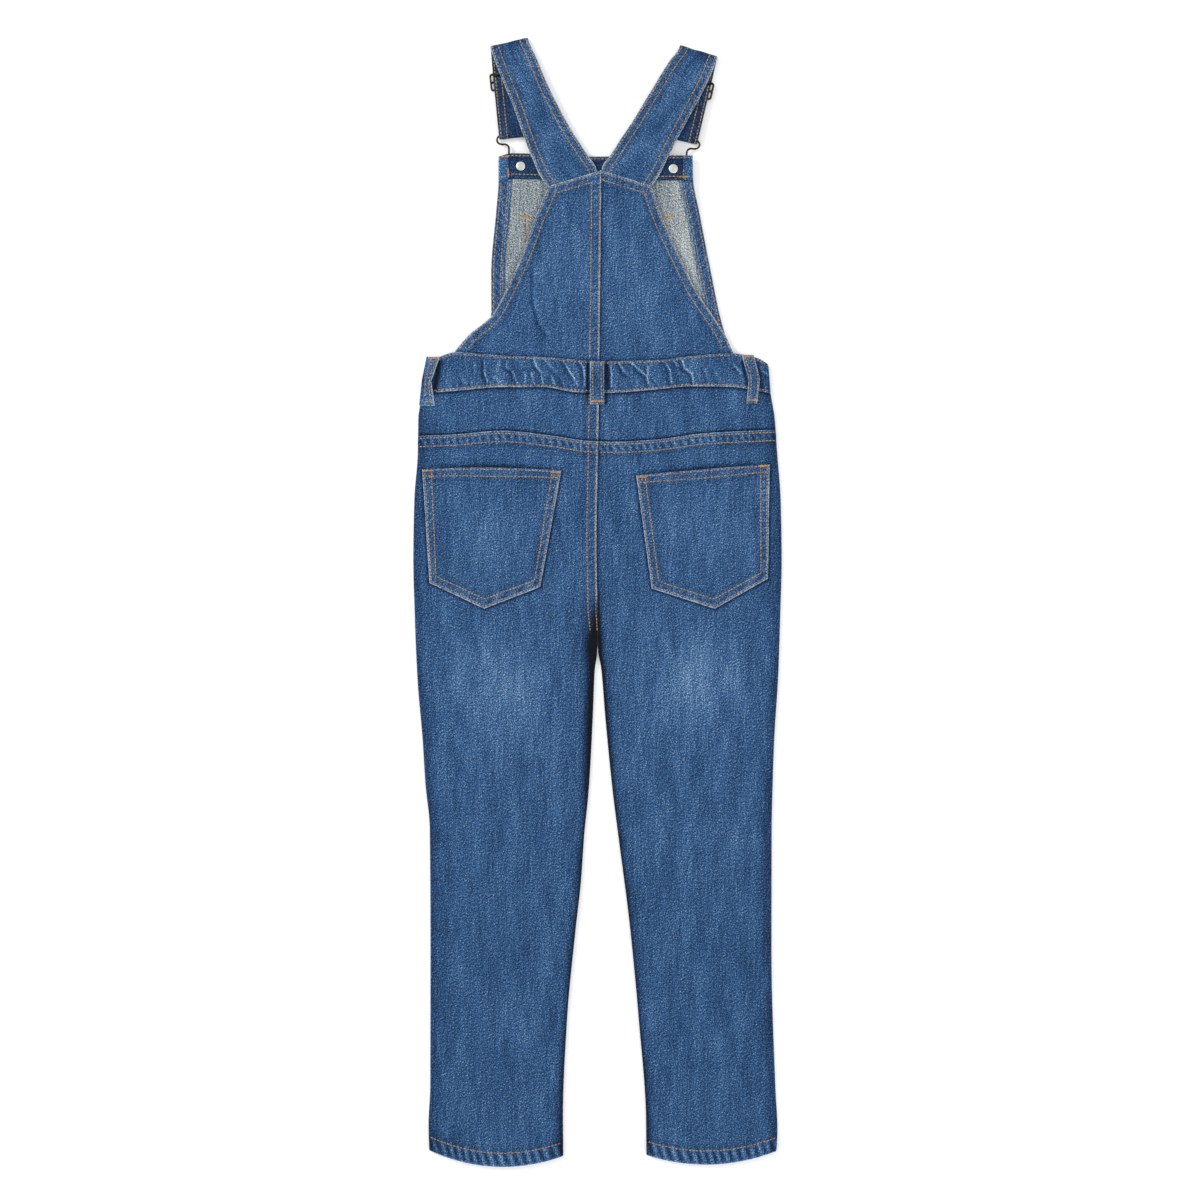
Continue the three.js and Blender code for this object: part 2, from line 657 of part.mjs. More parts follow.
// Front bib. Its columns are shared with the facing, and stand close together at the buttons and hems.
const bibLeft = reader(FRONT_BIB, 'y', 'left');
const bibRight = reader(FRONT_BIB, 'y', 'right');
const bibTop = reader(FRONT_BIB_TOP, 'x', 'y');
const bibRest = reader(BIB_REST, 'y', 'under');
const BIB_NEAR_EDGE = [0, 8, BIB_HEM - 0.4, BIB_HEM + 0.4, 35];

function bibColumns(y) {
  const [left, right] = [bibLeft(y), bibRight(y)];
  const middle = steps(7).slice(1, -1).map((u) => lerp(left + 35, right - 35, u));
  return [
    ...BIB_NEAR_EDGE.map((d) => left + d),
    ...middle,
    ...BIB_NEAR_EDGE.map((d) => right - d).reverse(),
  ];
}

// Underside of the front bib: on its pocket, and lifted to a level patch at each button
function bibUnder(x, y) {
  const button = x < 0 ? BUTTONS.left : BUTTONS.right;
  const aside = fade((Math.abs(x - button.x) - LIFT.flat) / LIFT.fade);
  const below = fade((bibTop(x) - FACING_DEPTH - y) / LIFT.drop);
  return bibRest(y) + LIFT.height * aside * below;
}

// Rows of the bib are distances down from its top edge; what lies on it is raised by `over`
function bibGrid(down, over, thickness) {
  return down.map((distance) => {
    const nominal = bibTop(0) - distance;
    return bibColumns(nominal).map((x) => {
      const bend = Math.max(0, 1 - distance / BIB_TOP_BEND);
      const y = nominal + (bibTop(x) - bibTop(0)) * bend;
      const t = thickness(x, nominal);
      return { x, y, z: bibUnder(x, y) + over + t / 2, t };
    });
  });
}

// Round cutters for the button posts
const posts = Object.values(BUTTONS).map(({ x, y }) => {
  const cutter = new THREE.CylinderGeometry(POST_RADIUS + GAP, POST_RADIUS + GAP, CUTTER_HEIGHT, 16);
  return cutter.rotateX(Math.PI / 2).translate(x, y, 0);
});

const BIB_ROWS = [0, 12, 24.5, 36, 48, 62, 76, 100, 130, 160];
const frontBibLength = bibTop(0) - FRONT_WAIST.top - GAP;
const frontBibGrid = bibGrid([...BIB_ROWS, 183, 194, 202, frontBibLength], 0, (x, y) => {
  const fromEdge = Math.min(x - bibLeft(y), bibRight(y) - x);
  return BIB_CLOTH + (fromEdge < BIB_HEM && y < bibTop(0) - FACING_DEPTH - 4 ? HEM_RISE : 0);
});
add('front_bib', cut(wall(frontBibGrid), posts), COLOURS.wrongSide);

const facingGrid = bibGrid([0, 12, 24.5], BIB_CLOTH + GAP, () => FACING);
add('bib_facing', cut(wall(facingGrid), posts), COLOURS.facing);

// Bib pocket, on the outside of the bib and so under it
const pocketShape = BIB_POCKET_SHAPE;
const bibPocketGrid = steps(3).map((v) => steps(4).map((u) => {
  const inset = pocketShape.taper * v;
  return {
    x: lerp(pocketShape.left + inset, pocketShape.right - inset, u),
    y: lerp(pocketShape.top, pocketShape.bottom, v),
    z: BIB_POCKET / 2,
    t: BIB_POCKET,
  };
}));
add('bib_pocket', wall(bibPocketGrid), COLOURS.denim);

// Back bib halves: from a roof-shaped top, level over the strap ends, down to the waistband
const backBibEdge = { left: reader(BACK_BIB, 'y', 'left'), right: reader(BACK_BIB, 'y', 'right') };
const bibCentreLie = reader(BACK_BIB_LIE, 'y', 'centre');
const bibSideLie = reader(BACK_BIB_LIE, 'y', 'side');
const backBibLie = (x, y) => (
  lerp(bibCentreLie(y), bibSideLie(y), Math.min(1, Math.abs(x) / BACK_BIB_CORNER_X))
);
const BACK_BIB_ROWS = [0, 0.05, 0.06, 0.13, 0.2, 0.28, 0.37, 0.46, 0.56, 0.67, 0.78, 0.88, 0.95, 1];

for (const side of ['left', 'right']) {
  const outward = side === 'left' ? -1 : 1;
  const grid = BACK_BIB_ROWS.map((v) => {
    const outerY = lerp(BACK_BIB_CORNER, BACK_BIB_FOOT, v);
    const innerY = lerp(BACK_BIB_PEAK, waistTop(0) + GAP, v);
    const outerX = backBibEdge[side](outerY);
    const innerX = centreSeam(innerY) + (side === 'right' ? GAP : 0);
    const width = Math.abs(innerX - outerX);
    const hem = Math.min(0.3, 10 / width);
    const band = Math.min(0.3, SEAM_BAND / width);
    const middle = steps(6).slice(1, -1).map((u) => lerp(hem + 0.02, 1 - band - 0.02, u));
    const across = [0, hem, hem + 0.02, ...middle, 1 - band - 0.02, 1 - band, 1];
    return across.map((u) => {
      const x = lerp(outerX, innerX, u);
      const bow = waistTop(x) + GAP - lerp(BACK_BIB_FOOT, waistTop(0) + GAP, u);
      const y = lerp(outerY, innerY, u) + bow * v * v;
      const felled = side === 'left' && u >= 1 - band ? SEAM_RISE : 0;
      const hemmed = u <= hem || v <= 0.05 ? POCKET_HEM_RISE : 0;
      const t = BIB_CLOTH + Math.max(felled, hemmed);
      return { x, y, z: backBibLie(x, y) + foldRise(x, y) + (t - BIB_CLOTH) / 2, t };
    });
  });
  add(`back_bib_${side}`, wall(grid), COLOURS.denim);
}

// Back patch pockets lie on the leg panel's own points, moved out, and gape a little at the opening
for (const [side, shape] of Object.entries(POCKETS)) {
  const topEdge = (u) => {
    const curve = new THREE.QuadraticBezierCurve(
      new THREE.Vector2(...shape.topLeft),
      new THREE.Vector2(2 * shape.topMid[0] - (shape.topLeft[0] + shape.topRight[0]) / 2,
        2 * shape.topMid[1] - (shape.topLeft[1] + shape.topRight[1]) / 2),
      new THREE.Vector2(...shape.topRight),
    );
    return curve.getPoint(u);
  };
  const bottomEdge = (u) => {
    const [from, to, share] = u < 0.5 ? [shape.bottomLeft, shape.tip, 2 * u]
      : [shape.tip, shape.bottomRight, 2 * u - 1];
    return new THREE.Vector2(lerp(from[0], to[0], share), lerp(from[1], to[1], share));
  };
  const hem = POCKET_HEM / (shape.topMid[1] - shape.tip[1]);
  const grid = [0, hem / 2, hem, hem + 0.01, 0.25, 0.45, 0.65, 0.85, 1].map((v) => steps(10).map((u) => {
    const place = topEdge(u).lerp(bottomEdge(u), v);
    const surface = backPoint(side, place.x, place.y);
    const hemmed = v <= hem ? POCKET_HEM_RISE : 0;
    const t = POCKET + hemmed;
    const gape = POCKET_GAPE * Math.sin(Math.PI * u) * fade(v / 0.3);
    const out = LEG_CLOTH / 2 + GAP + t / 2 + gape;
    return { ...surface, x: surface.x + out * surface.nx, z: surface.z + out * surface.nz, t };
  }));
  add(`back_pocket_${side}`, wall(grid), COLOURS.denim);
}

// Belt loops arch over the waistband; the left one goes round the side edge
for (const [name, rows] of Object.entries(BELT_LOOPS)) {
  const grid = rows.map(({ y, left, right, z }) => steps(2).map((u) => (
    { x: lerp(left, right, u), y, z, t: LOOP }
  )));
  add(`belt_loop_${name}`, wall(grid), COLOURS.denim);
}
const sideLoopGrid = SIDE_LOOP.map(({ y, inner, rise }) => {
  const outer = leftSide(y) + edgeInset(1);
  const onBand = THREE.MathUtils.clamp((y - 203) / 5, 0, 1);
  return [0, 0.14, 0.45, 1].map((u) => {
    const surface = backPoint('left', lerp(outer, inner, u), y);
    const over = lerp(LEG_CLOTH / 2, BACK_BAND - LEG_CLOTH / 2, onBand);
    const out = over + GAP + LOOP / 2 + rise;
    return {
      ...surface, x: surface.x + out * surface.nx, z: surface.z + out * surface.nz, t: LOOP,
    };
  });
});
add('belt_loop_left', wall(sideLoopGrid), COLOURS.denim);

// Straps. Each is one ribbon: an end turned up round the buckle bar, the run in front, a flat fold at
// the shoulder and the run behind, which ends under the back bib.
const vector = ([x, y]) => new THREE.Vector2(x, y);

for (const [side, strap] of Object.entries(STRAPS)) {
  const fold = strap.fold.map(vector);
  const down = strap.end.map((end, i) => vector(end).sub(fold[i]).normalize());
  const bar = strap.end.map((end, i) => vector(end).addScaledVector(down[i], -(TURN + STRAP / 2)));
  const length = bar[0].distanceTo(fold[0]);
  const foldUp = vector([fold[0].y - fold[1].y, fold[1].x - fold[0].x]).normalize();
  const row = (points, z, rightZ = z) => steps(3).map((u) => {
    const point = points[0].clone().lerp(points[1], u);
    return { x: point.x, y: point.y, z: lerp(z, rightZ, u), t: STRAP };
  });
  const along = (fromFold, z) => row(fold.map((f, i) => f.clone().lerp(bar[i], fromFold / length)), z);
  const turned = steps(6).map((u) => {
    const angle = lerp(Math.PI / 2, -Math.PI / 2, u);
    const points = bar.map((b, i) => b.clone().addScaledVector(down[i], TURN * Math.cos(angle)));
    return row(points, WIRE_LEVEL + TURN * Math.sin(angle));
  });
  const folded = steps(4).map((u) => {
    const angle = lerp(-Math.PI / 2, Math.PI / 2, u);
    const back = STRAP / 2 + FOLD_RADIUS * (1 - Math.cos(angle));
    const points = fold.map((f) => f.clone().addScaledVector(foldUp, -back));
    return row(points, RUN_LEVEL + FOLD_RADIUS * (1 + Math.sin(angle)));
  });
  const grid = [
    along(length - RETURN_LENGTH, WIRE_LEVEL + TURN - 0.75),
    along(length - 40, WIRE_LEVEL + TURN - 0.75),
    along(length - 18, WIRE_LEVEL + TURN - 0.2),
    ...turned,
    along(length - 8, WIRE_LEVEL - TURN - 0.2),
    along(length - 24, RUN_LEVEL),
    along(30, RUN_LEVEL),
    ...folded,
    ...strap.run.map(({ lx, ly, lz, rx, ry, rz }) => (
      row([vector([lx, ly]), vector([rx, ry])], lz, rz)
    )),
  ];
  add(`strap_${side}`, wall(withNormals(grid)), COLOURS.denim);

  const middle = fold[0].clone().lerp(fold[1], 0.5).lerp(bar[0].clone().lerp(bar[1], 0.5),
    SLIDER.fromFold / length);
  const turn = Math.atan2(bar[1].y - bar[0].y, bar[1].x - bar[0].x);
  addSlider(`slider_${side}`, middle, turn);
  addBuckle(`buckle_${side}`, BUTTONS[side], bar);
}

// A flat oblong frame with a middle bar, lying between the two layers of the strap
function addSlider(name, centre, turn) {
  const { width, height, thickness, rail, bar, corner } = SLIDER;
  const outline = new THREE.Shape();
  const [w, h] = [width / 2, height / 2];
  outline.moveTo(-w + corner, -h).lineTo(w - corner, -h);
  outline.absarc(w - corner, -h + corner, corner, -Math.PI / 2, 0);
  outline.absarc(w - corner, h - corner, corner, 0, Math.PI / 2);
  outline.absarc(-w + corner, h - corner, corner, Math.PI / 2, Math.PI);
  outline.absarc(-w + corner, -h + corner, corner, Math.PI, 1.5 * Math.PI);
  for (const sign of [-1, 1]) {
    const near = sign * bar / 2;
    const far = sign * (h - bar);
    const slot = new THREE.Path();
    slot.moveTo(-w + rail, near).lineTo(w - rail, near).lineTo(w - rail, far).lineTo(-w + rail, far);
    slot.closePath();
    outline.holes.push(slot);
  }
  const frame = new THREE.ExtrudeGeometry(outline, { depth: thickness, bevelEnabled: false,
    curveSegments: 4 });
  const mesh = add(name, frame, COLOURS.wire);
  mesh.rotation.z = turn;
  mesh.position.set(centre.x, centre.y, RUN_LEVEL + STRAP / 2 + GAP);
}

// Bent wire: a bar inside the turned strap, shoulders, and a loop that narrows to a slot at the post.
// Its two ends meet at the middle of the bar.
function addBuckle(name, button, bar) {
  const ends = bar.map((b) => b.clone().sub(vector([button.x, button.y])));
  const barDirection = ends[1].clone().sub(ends[0]).normalize();
  const centre = ends[0].clone().lerp(ends[1], 0.5);
  const onBar = (along) => centre.clone().addScaledVector(barDirection, along);
  const lean = Math.atan2(centre.x, centre.y);
  const turned = ({ x, y }) => vector([x, y]).rotateAround(vector([0, 0]), -lean);
  const rightHalf = BUCKLE_SIDE.map(turned);
  const leftHalf = BUCKLE_SIDE.slice(0, -1).reverse().map(({ x, y }) => turned({ x: -x, y }));
  const half = bar[0].distanceTo(bar[1]) / 2;
  const route = [
    onBar(0.2), onBar(half / 2), onBar(half - 1), onBar(half + 0.5),
    ...rightHalf,
    ...leftHalf,
    onBar(-half - 0.5), onBar(1 - half), onBar(-half / 2), onBar(-0.2),
  ];
  const path = new THREE.CatmullRomCurve3(
    route.map((p) => new THREE.Vector3(button.x + p.x, button.y + p.y, WIRE_LEVEL)),
    false,
    'centripetal',
  );
  const section = new THREE.Shape();
  section.absarc(0, 0, WIRE / 2, 0, 2 * Math.PI);
  const wire = new THREE.ExtrudeGeometry(section, { steps: WIRE_STEPS, extrudePath: path,
    curveSegments: 4, bevelEnabled: false });
  add(name, wire, COLOURS.wire);
}

// Buttons: a domed cap outside the bib, a post through the slot and both layers, a nail head inside
const headUnder = BIB_AT_BUTTON + BIB_CLOTH + GAP + FACING + GAP;
const buttonProfile = [
  [0, 0], [6.2, 0], [7.8, 0.5], [CAP_RADIUS, 1.3], [7.9, 2.1], [6, CAP_HEIGHT],
  [POST_RADIUS, CAP_HEIGHT], [POST_RADIUS, headUnder], [NAIL_RADIUS - 0.3, headUnder],
  [NAIL_RADIUS, headUnder + 0.3], [NAIL_RADIUS - 0.5, headUnder + 0.8],
  [2.4, headUnder + NAIL_HEIGHT - 0.1], [0, headUnder + NAIL_HEIGHT],
].map(([radius, height]) => new THREE.Vector2(radius, height));

for (const [side, { x, y }] of Object.entries(BUTTONS)) {
  const button = add(`button_${side}`, new THREE.LatheGeometry(buttonProfile, 16), COLOURS.nail);
  button.rotation.x = Math.PI / 2;
  button.position.set(x, y, 0);
}

export default dungarees;
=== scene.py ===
import bpy
import numpy as np
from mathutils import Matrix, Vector


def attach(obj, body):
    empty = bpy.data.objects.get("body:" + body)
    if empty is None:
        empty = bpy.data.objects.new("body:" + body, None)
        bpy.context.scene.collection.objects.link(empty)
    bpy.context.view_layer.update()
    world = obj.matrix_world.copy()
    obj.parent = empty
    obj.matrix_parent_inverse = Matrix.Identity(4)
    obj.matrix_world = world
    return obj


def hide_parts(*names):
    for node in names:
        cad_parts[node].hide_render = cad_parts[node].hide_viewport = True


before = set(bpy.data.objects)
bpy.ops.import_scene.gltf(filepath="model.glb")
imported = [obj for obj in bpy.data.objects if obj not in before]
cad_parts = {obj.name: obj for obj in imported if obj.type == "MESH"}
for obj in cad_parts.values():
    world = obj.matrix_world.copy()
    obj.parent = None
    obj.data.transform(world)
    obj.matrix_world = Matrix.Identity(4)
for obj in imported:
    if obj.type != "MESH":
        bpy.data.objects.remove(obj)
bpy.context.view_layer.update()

# ---------------------------------------------------------------------------
# Back legs. Two panels of mid-blue cotton twill, washed so that the thighs and
# the seam edges have faded. Each leg laps the yoke above it and the left one laps
# the right down the centre back, both double stitched; the hem is turned up twice.
# All shapes are worked out in millimetres and go into the mesh in metres.
# ---------------------------------------------------------------------------
LEG_CLOTH = 1.5  # thickness of the twill
GAP = 0.3  # between a piece and what it is sewn to
SLIT = 0.06  # between the halves at the centre back
ROUNDING = 16  # how far in from its edges the back curves down to its rim
CROTCH = -50.7

# How wide each seam is, the distances of its stitch rows, and the pitch of its puckers
FELL_WIDTH, FELL_ROWS, FELL_PITCH = 11, (1.6, 9.6), 8.2
LAP_WIDTH, LAP_ROWS, LAP_PITCH = 12, (2.8, 11), 7.4
LEG_HEM, HEM_ROW, HEM_PITCH = 15, 14, 8.6


def through(pairs):
    """A smooth curve through (key, value) pairs that never overshoots: cubic pieces whose slope at a
    pair is the harmonic mean of the straight slopes beside it, and level where those turn."""
    pairs = np.array(pairs, float)
    key, value = pairs[np.argsort(pairs[:, 0])].T
    rate = np.diff(value) / np.diff(key)
    before, after = rate[:-1], rate[1:]
    both = before + after
    mean = 2 * before * after / np.where(both == 0, 1, both)
    slope = np.concatenate([rate[:1], np.where(before * after > 0, mean, 0), rate[-1:]])

    def read(where):
        here = np.clip(where, key[0], key[-1])
        i = np.clip(np.searchsorted(key, here), 1, len(key) - 1) - 1
        span = key[i + 1] - key[i]
        t = (here - key[i]) / span
        return ((2 * t**3 - 3 * t**2 + 1) * value[i] + (t**3 - 2 * t**2 + t) * span * slope[i]
                + (3 * t**2 - 2 * t**3) * value[i + 1] + (t**3 - t**2) * span * slope[i + 1])

    return read


SIDE = {
    "left": through([(252, -168), (236, -170.8), (209, -175), (184, -179.5), (148, -180), (100, -183.5),
                     (40, -184.5), (-20, -183), (-80, -180.5), (-140, -175.5), (-188, -172.5),
                     (-236, -168), (-356, -167.3), (-500, -167.5), (-540, -169.3), (-566, -168.5)]),
    "right": through([(252, 168), (236, 171.3), (209, 173.5), (184, 177.5), (148, 180), (100, 183.5),
                      (40, 184.5), (-20, 183), (-80, 181), (-140, 177.2), (-188, 175.5), (-236, 174.5),
                      (-356, 174.3), (-500, 178.3), (-540, 180.3), (-566, 179)]),
}
INSEAM = {
    "left": through([(CROTCH, 0.1), (-68, -2.5), (-116, -4.5), (-188, -8.3), (-236, -13), (-284, -16.3),
                     (-332, -21.5), (-428, -30.5), (-524, -34.5), (-566, -34.2)]),
    "right": through([(CROTCH, 0.16), (-68, 3.5), (-116, 7.5), (-188, 14.5), (-236, 20.5),
                      (-332, 32.5), (-428, 41.5), (-524, 48.5), (-566, 48.9)]),
}
CENTRE_SEAM = through([(432, 4), (245, 1.9), (152, 0.5), (62, -1), (0, 0), (CROTCH, 0.1)])
LEG_OPENING = {"left": (-548.6, -554.3, 13.7), "right": (-549.4, -553.4, 11.5)}
YOKE_SEAM = through([(-180, 166.3), (-146, 167.6), (-95, 171.4), (-44, 166.3), (-8, 161.2),
                     (20, 160.5), (57, 162.5), (108, 169), (180, 172.7)])
LEVEL = through([(252, 5.2), (-470, 5.2), (-526, 4.5), (-546, 4.1), (-566, 4.1)])
RIM_LEVEL = through([(252, 1.8), (-470, 1.8), (-526, 2.6), (-546, 2.6), (-566, 2.6)])
OUTWARD = {"left": -1, "right": 1}

# Creases as pressed and worn: ends of the line, rise and half width of the fold
BODY_CREASES = np.array([
    # the broad folds of the seat and thighs
    (-128, -18, -84, -120, 0.5, 24), (-60, -140, -57, -186, -0.6, 17), (106, -52, 96, -112, 0.5, 26),
    # drag lines that fan out from the crotch
    (-10, -22, -62, -52, 0.35, 6), (-8, -44, -70, -98, 0.42, 7), (-14, -70, -58, -142, -0.4, 7),
    (10, -24, 58, -46, 0.35, 6), (10, -48, 66, -92, 0.4, 7), (14, -72, 50, -136, -0.38, 7),
    (-16, 4, -44, -20, -0.3, 6), (14, 2, 40, -16, -0.28, 6), (-8, 60, -26, -8, 0.3, 6),
    # soft breaks across the thighs and knees
    (-160, -146, -96, -158, 0.3, 8), (-150, -206, -84, -190, -0.32, 9), (-66, -166, -44, -158, -0.55, 8),
    (-70, -150, -40, -176, 0.35, 6), (70, -150, 150, -140, 0.28, 8), (60, -196, 128, -212, -0.3, 9),
    (-152, -262, -96, -246, 0.28, 9), (-120, -300, -60, -318, -0.3, 10), (80, -262, 158, -250, 0.3, 9),
    (64, -322, 120, -306, -0.3, 10), (-150, -372, -92, -386, 0.26, 10), (96, -376, 160, -392, 0.28, 10),
    (-128, -436, -66, -424, -0.26, 11), (72, -430, 142, -446, -0.26, 11), (-140, -492, -84, -502, 0.24, 10),
    (88, -498, 156, -488, 0.24, 10),
    # long shallow folds down the legs
    (-124, -210, -116, -420, 0.3, 13), (-86, -250, -88, -470, -0.3, 12), (-150, -250, -148, -500, -0.22, 9),
    (-56, -270, -66, -500, 0.24, 8), (94, -240, 108, -440, 0.3, 13), (132, -220, 134, -470, -0.3, 12),
    (66, -280, 82, -500, 0.24, 9), (160, -240, 162, -520, -0.2, 8),
    # the seat between the pockets
    (-24, 128, -20, 40, -0.3, 7), (26, 120, 22, 30, -0.3, 7), (-34, 150, -14, 118, 0.26, 6),
    (30, 148, 14, 112, 0.26, 6), (13, 198, 9, 163, 0.7, 3.2), (-60, 204, -44, 178, -0.3, 6),
    (-110, 202, -120, 178, 0.26, 7), (70, 206, 62, 176, -0.3, 7), (122, 204, 130, 178, 0.28, 7),
    (-150, 200, -160, 176, -0.3, 6), (38, 206, 44, 182, 0.3, 5), (-30, 206, -26, 186, 0.35, 5),
])


def creases(x, y, folds):
    """Sum of the folds: each is its rise times a bell curve of the distance from its line."""
    x1, y1, x2, y2, rise, width = folds.T[(...,) + (None,) * np.ndim(x)]
    dx, dy = x2 - x1, y2 - y1
    t = np.clip(((x - x1) * dx + (y - y1) * dy) / (dx**2 + dy**2), 0, 1)
    away = np.hypot(x - x1 - t * dx, y - y1 - t * dy)
    return np.sum(rise * bell(away, width), axis=0)


def uneven(x, y, longest, shortest, seed):
    """Slight unevenness from -1 to 1: a sum of twelve waves in every direction, with lengths spread
    between the longest and the shortest."""
    draw = np.random.default_rng(seed)
    length = np.geomspace(longest, shortest, 12)
    turn = draw.uniform(0, np.pi, 12)
    start = draw.uniform(0, 2 * np.pi, 12)
    waves = [np.sin(2 * np.pi * (x * np.cos(a) + y * np.sin(a)) / l + s)
             for l, a, s in zip(length, turn, start)]
    return sum(waves) / 5


def fall(amount):
    """From 1 at 0 down to 0 at 1, level at both ends."""
    return 0.5 + 0.5 * np.cos(np.pi * np.clip(amount, 0, 1))


def bell(distance, width):
    """A bell curve: 1 at no distance, and about a third at the width."""
    return np.exp(-((distance / width) ** 2))


def grooves(distance, rows, width=0.8):
    """Sum of narrow bell curves at the stitch rows, where the thread draws the cloth in."""
    return sum(bell(distance - row, width) for row in rows)


def roll(distance, radius):
    """Share of the cloth's thickness near an edge, so that the edge is round."""
    return 0.25 + 0.75 * np.sqrt(1 - (1 - np.clip(distance / radius, 0, 1)) ** 2)


def rope(along, pitch, lean=0):
    """Puckers along a seam from 0 to 1: a wave whose length drifts a little along the seam."""
    phase = along + lean + 2.1 * np.sin(along / 23) + 1.1 * np.sin(along / 9.7 + 1)
    return 0.5 + 0.5 * np.sin(2 * np.pi * phase / pitch)


def inner_edge(side, y):
    seam = CENTRE_SEAM(y) + (SLIT if side == "right" else 0)
    return np.where(y > CROTCH, seam, INSEAM[side](y))


def crotch_fall(y):
    """How far the inner edge is rounded down: not at the centre seam, fully at the inside leg."""
    return fall((y - CROTCH + 6) / 50)


def back_layer(side, x, y):
    """Height of the back layer's mid-surface: level, with its creases, and down a quarter ellipse to
    the rim at the side and at the inside leg."""
    outward = OUTWARD[side]
    drop = LEVEL(y) - RIM_LEVEL(y)
    share = crotch_fall(y)
    from_side = outward * (SIDE[side](y) - x) - LEG_CLOTH / 2
    from_inner = outward * (x - inner_edge(side, y)) - LEG_CLOTH / 2 * np.sin(share * np.pi / 2)
    inside = np.clip(from_side / ROUNDING, 0, 1)
    z = LEVEL(y) + (creases(x, y, BODY_CREASES) + 0.16 * uneven(x, y, 85, 18, 3)) * inside
    for distance, amount in ((from_side, 1), (from_inner, share)):
        run = 1 - np.clip(distance / ROUNDING, 0, 1)
        z = z - drop * amount * (1 - np.sqrt(1 - run**2))
    return z


def between(start, end, pitch):
    """Evenly spaced values from start to end, both left out, about one pitch apart."""
    count = max(int(round((end - start) / pitch)), 2)
    return np.linspace(start, end, count + 1)[1:-1]


def across_half(side, y, near_side, near_inner, count):
    """Columns of a back half from left to right: set distances in from each edge, even ones between."""
    outward = OUTWARD[side]
    outer = SIDE[side](y) - outward * LEG_CLOTH / 2
    inner = inner_edge(side, y) + outward * LEG_CLOTH / 2 * np.sin(crotch_fall(y) * np.pi / 2)
    u = np.linspace(0, 1, count + 1)[1:-1]
    start, end = outer - outward * near_side[-1], inner + outward * near_inner[-1]
    x = np.hstack([outer - outward * near_side, start + (end - start) * u,
                   inner + outward * near_inner[::-1]])
    return x if side == "left" else x[:, ::-1]


def normals_of(points):
    """Unit normals of a grid of points whose rows go down and whose columns go right, facing up."""
    normal = np.cross(np.gradient(points, axis=0), np.gradient(points, axis=1))
    return normal / np.linalg.norm(normal, axis=2, keepdims=True)


def quad_mesh(name, points, quads):
    """A smooth mesh of four-sided faces, from points in millimetres."""
    mesh = bpy.data.meshes.new(name)
    mesh.vertices.add(points.size // 3)
    mesh.vertices.foreach_set("co", points.ravel() * 0.001)
    mesh.loops.add(quads.size)
    mesh.loops.foreach_set("vertex_index", quads.ravel())
    mesh.polygons.add(len(quads))
    mesh.polygons.foreach_set("loop_start", np.arange(0, quads.size, 4))
    mesh.polygons.foreach_set("use_smooth", np.ones(len(quads), bool))
    mesh.update(calc_edges=True)
    return mesh


def put_in(name, mesh):
    """The mesh as a piece of the garment, at the origin."""
    piece = bpy.data.objects.new(name, mesh)
    bpy.context.scene.collection.objects.link(piece)
    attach(piece, "root")
    return piece


def cloth(name, middle, above, below, grain, wear_and_shade, looks, inside=None):
    """A closed wall round a grid of mid-surface points. Its upper face stands `above` the middle along
    the normal, its lower face `below`, and a rim joins the two all round. `grain` is the place on the
    flat cloth, kept as the UV map, and `wear_and_shade` is how much lighter or darker it is, from fading
    and from painted shade, kept as an attribute. Where `inside` is true, the upper face shows the second
    look."""
    rows, columns = middle.shape[:2]
    normal = normals_of(middle)
    above, below, wear_and_shade = (np.broadcast_to(v, (rows, columns)) for v in (above, below, wear_and_shade))
    top = middle + normal * above[..., None]
    bottom = middle - normal * below[..., None]
    points = np.concatenate([top.reshape(-1, 3), bottom.reshape(-1, 3)])
    count = rows * columns
    index = np.arange(count).reshape(rows, columns)
    a, b, c, d = index[:-1, :-1], index[:-1, 1:], index[1:, 1:], index[1:, :-1]
    upper = np.stack([a, d, c, b], axis=-1).reshape(-1, 4)
    lower = np.stack([a, b, c, d], axis=-1).reshape(-1, 4) + count
    ring = np.concatenate([index[:-1, 0], index[-1, :-1], index[:0:-1, -1], index[0, :0:-1]])
    onward = np.roll(ring, -1)
    rim = np.stack([ring, ring + count, onward + count, onward], axis=-1)
    quads = np.concatenate([upper, lower, rim])
    mesh = quad_mesh(name, points, quads)
    if inside is not None:
        second = np.concatenate([inside[:-1, :-1].ravel(), np.zeros(len(quads) - len(upper), bool)])
        mesh.polygons.foreach_set("material_index", second.astype(np.int32))
    flat = np.tile(grain.reshape(-1, 2) * 0.001, (2, 1))
    mesh.uv_layers.new(name="cloth").data.foreach_set("uv", flat[quads.ravel()].ravel())
    worn = mesh.attributes.new("wear_and_shade", "FLOAT", "POINT")
    worn.data.foreach_set("value", np.tile(wear_and_shade.ravel(), 2))
    for look in looks:
        mesh.materials.append(look)
    return put_in(name, mesh)


def paint(*rgb):
    """A screen colour, 0 to 255 for each of red, green and blue, as the shader wants it."""
    share = np.array(rgb) / 255
    linear = np.where(share <= 0.04045, share / 12.92, ((share + 0.055) / 1.055) ** 2.4)
    return (*linear.tolist(), 1.0)


def new_look(name):
    """A new material, with its nodes, links and shader."""
    material = bpy.data.materials.new(name)
    material.use_nodes = True
    tree = material.node_tree
    return material, tree.nodes, tree.links, tree.nodes["Principled BSDF"]


def toned(nodes, links, value, tones, shader):
    """Colours the shader by a ramp of (position, screen colour) read at the value."""
    ramp = nodes.new("ShaderNodeValToRGB")
    stops = ramp.color_ramp.elements
    while len(stops) < len(tones):
        stops.new(0.5)
    for stop, (at, colour) in zip(stops, tones):
        stop.position = at
        stop.color = paint(*colour)
    links.new(value, ramp.inputs["Fac"])
    links.new(ramp.outputs["Color"], shader.inputs["Base Color"])


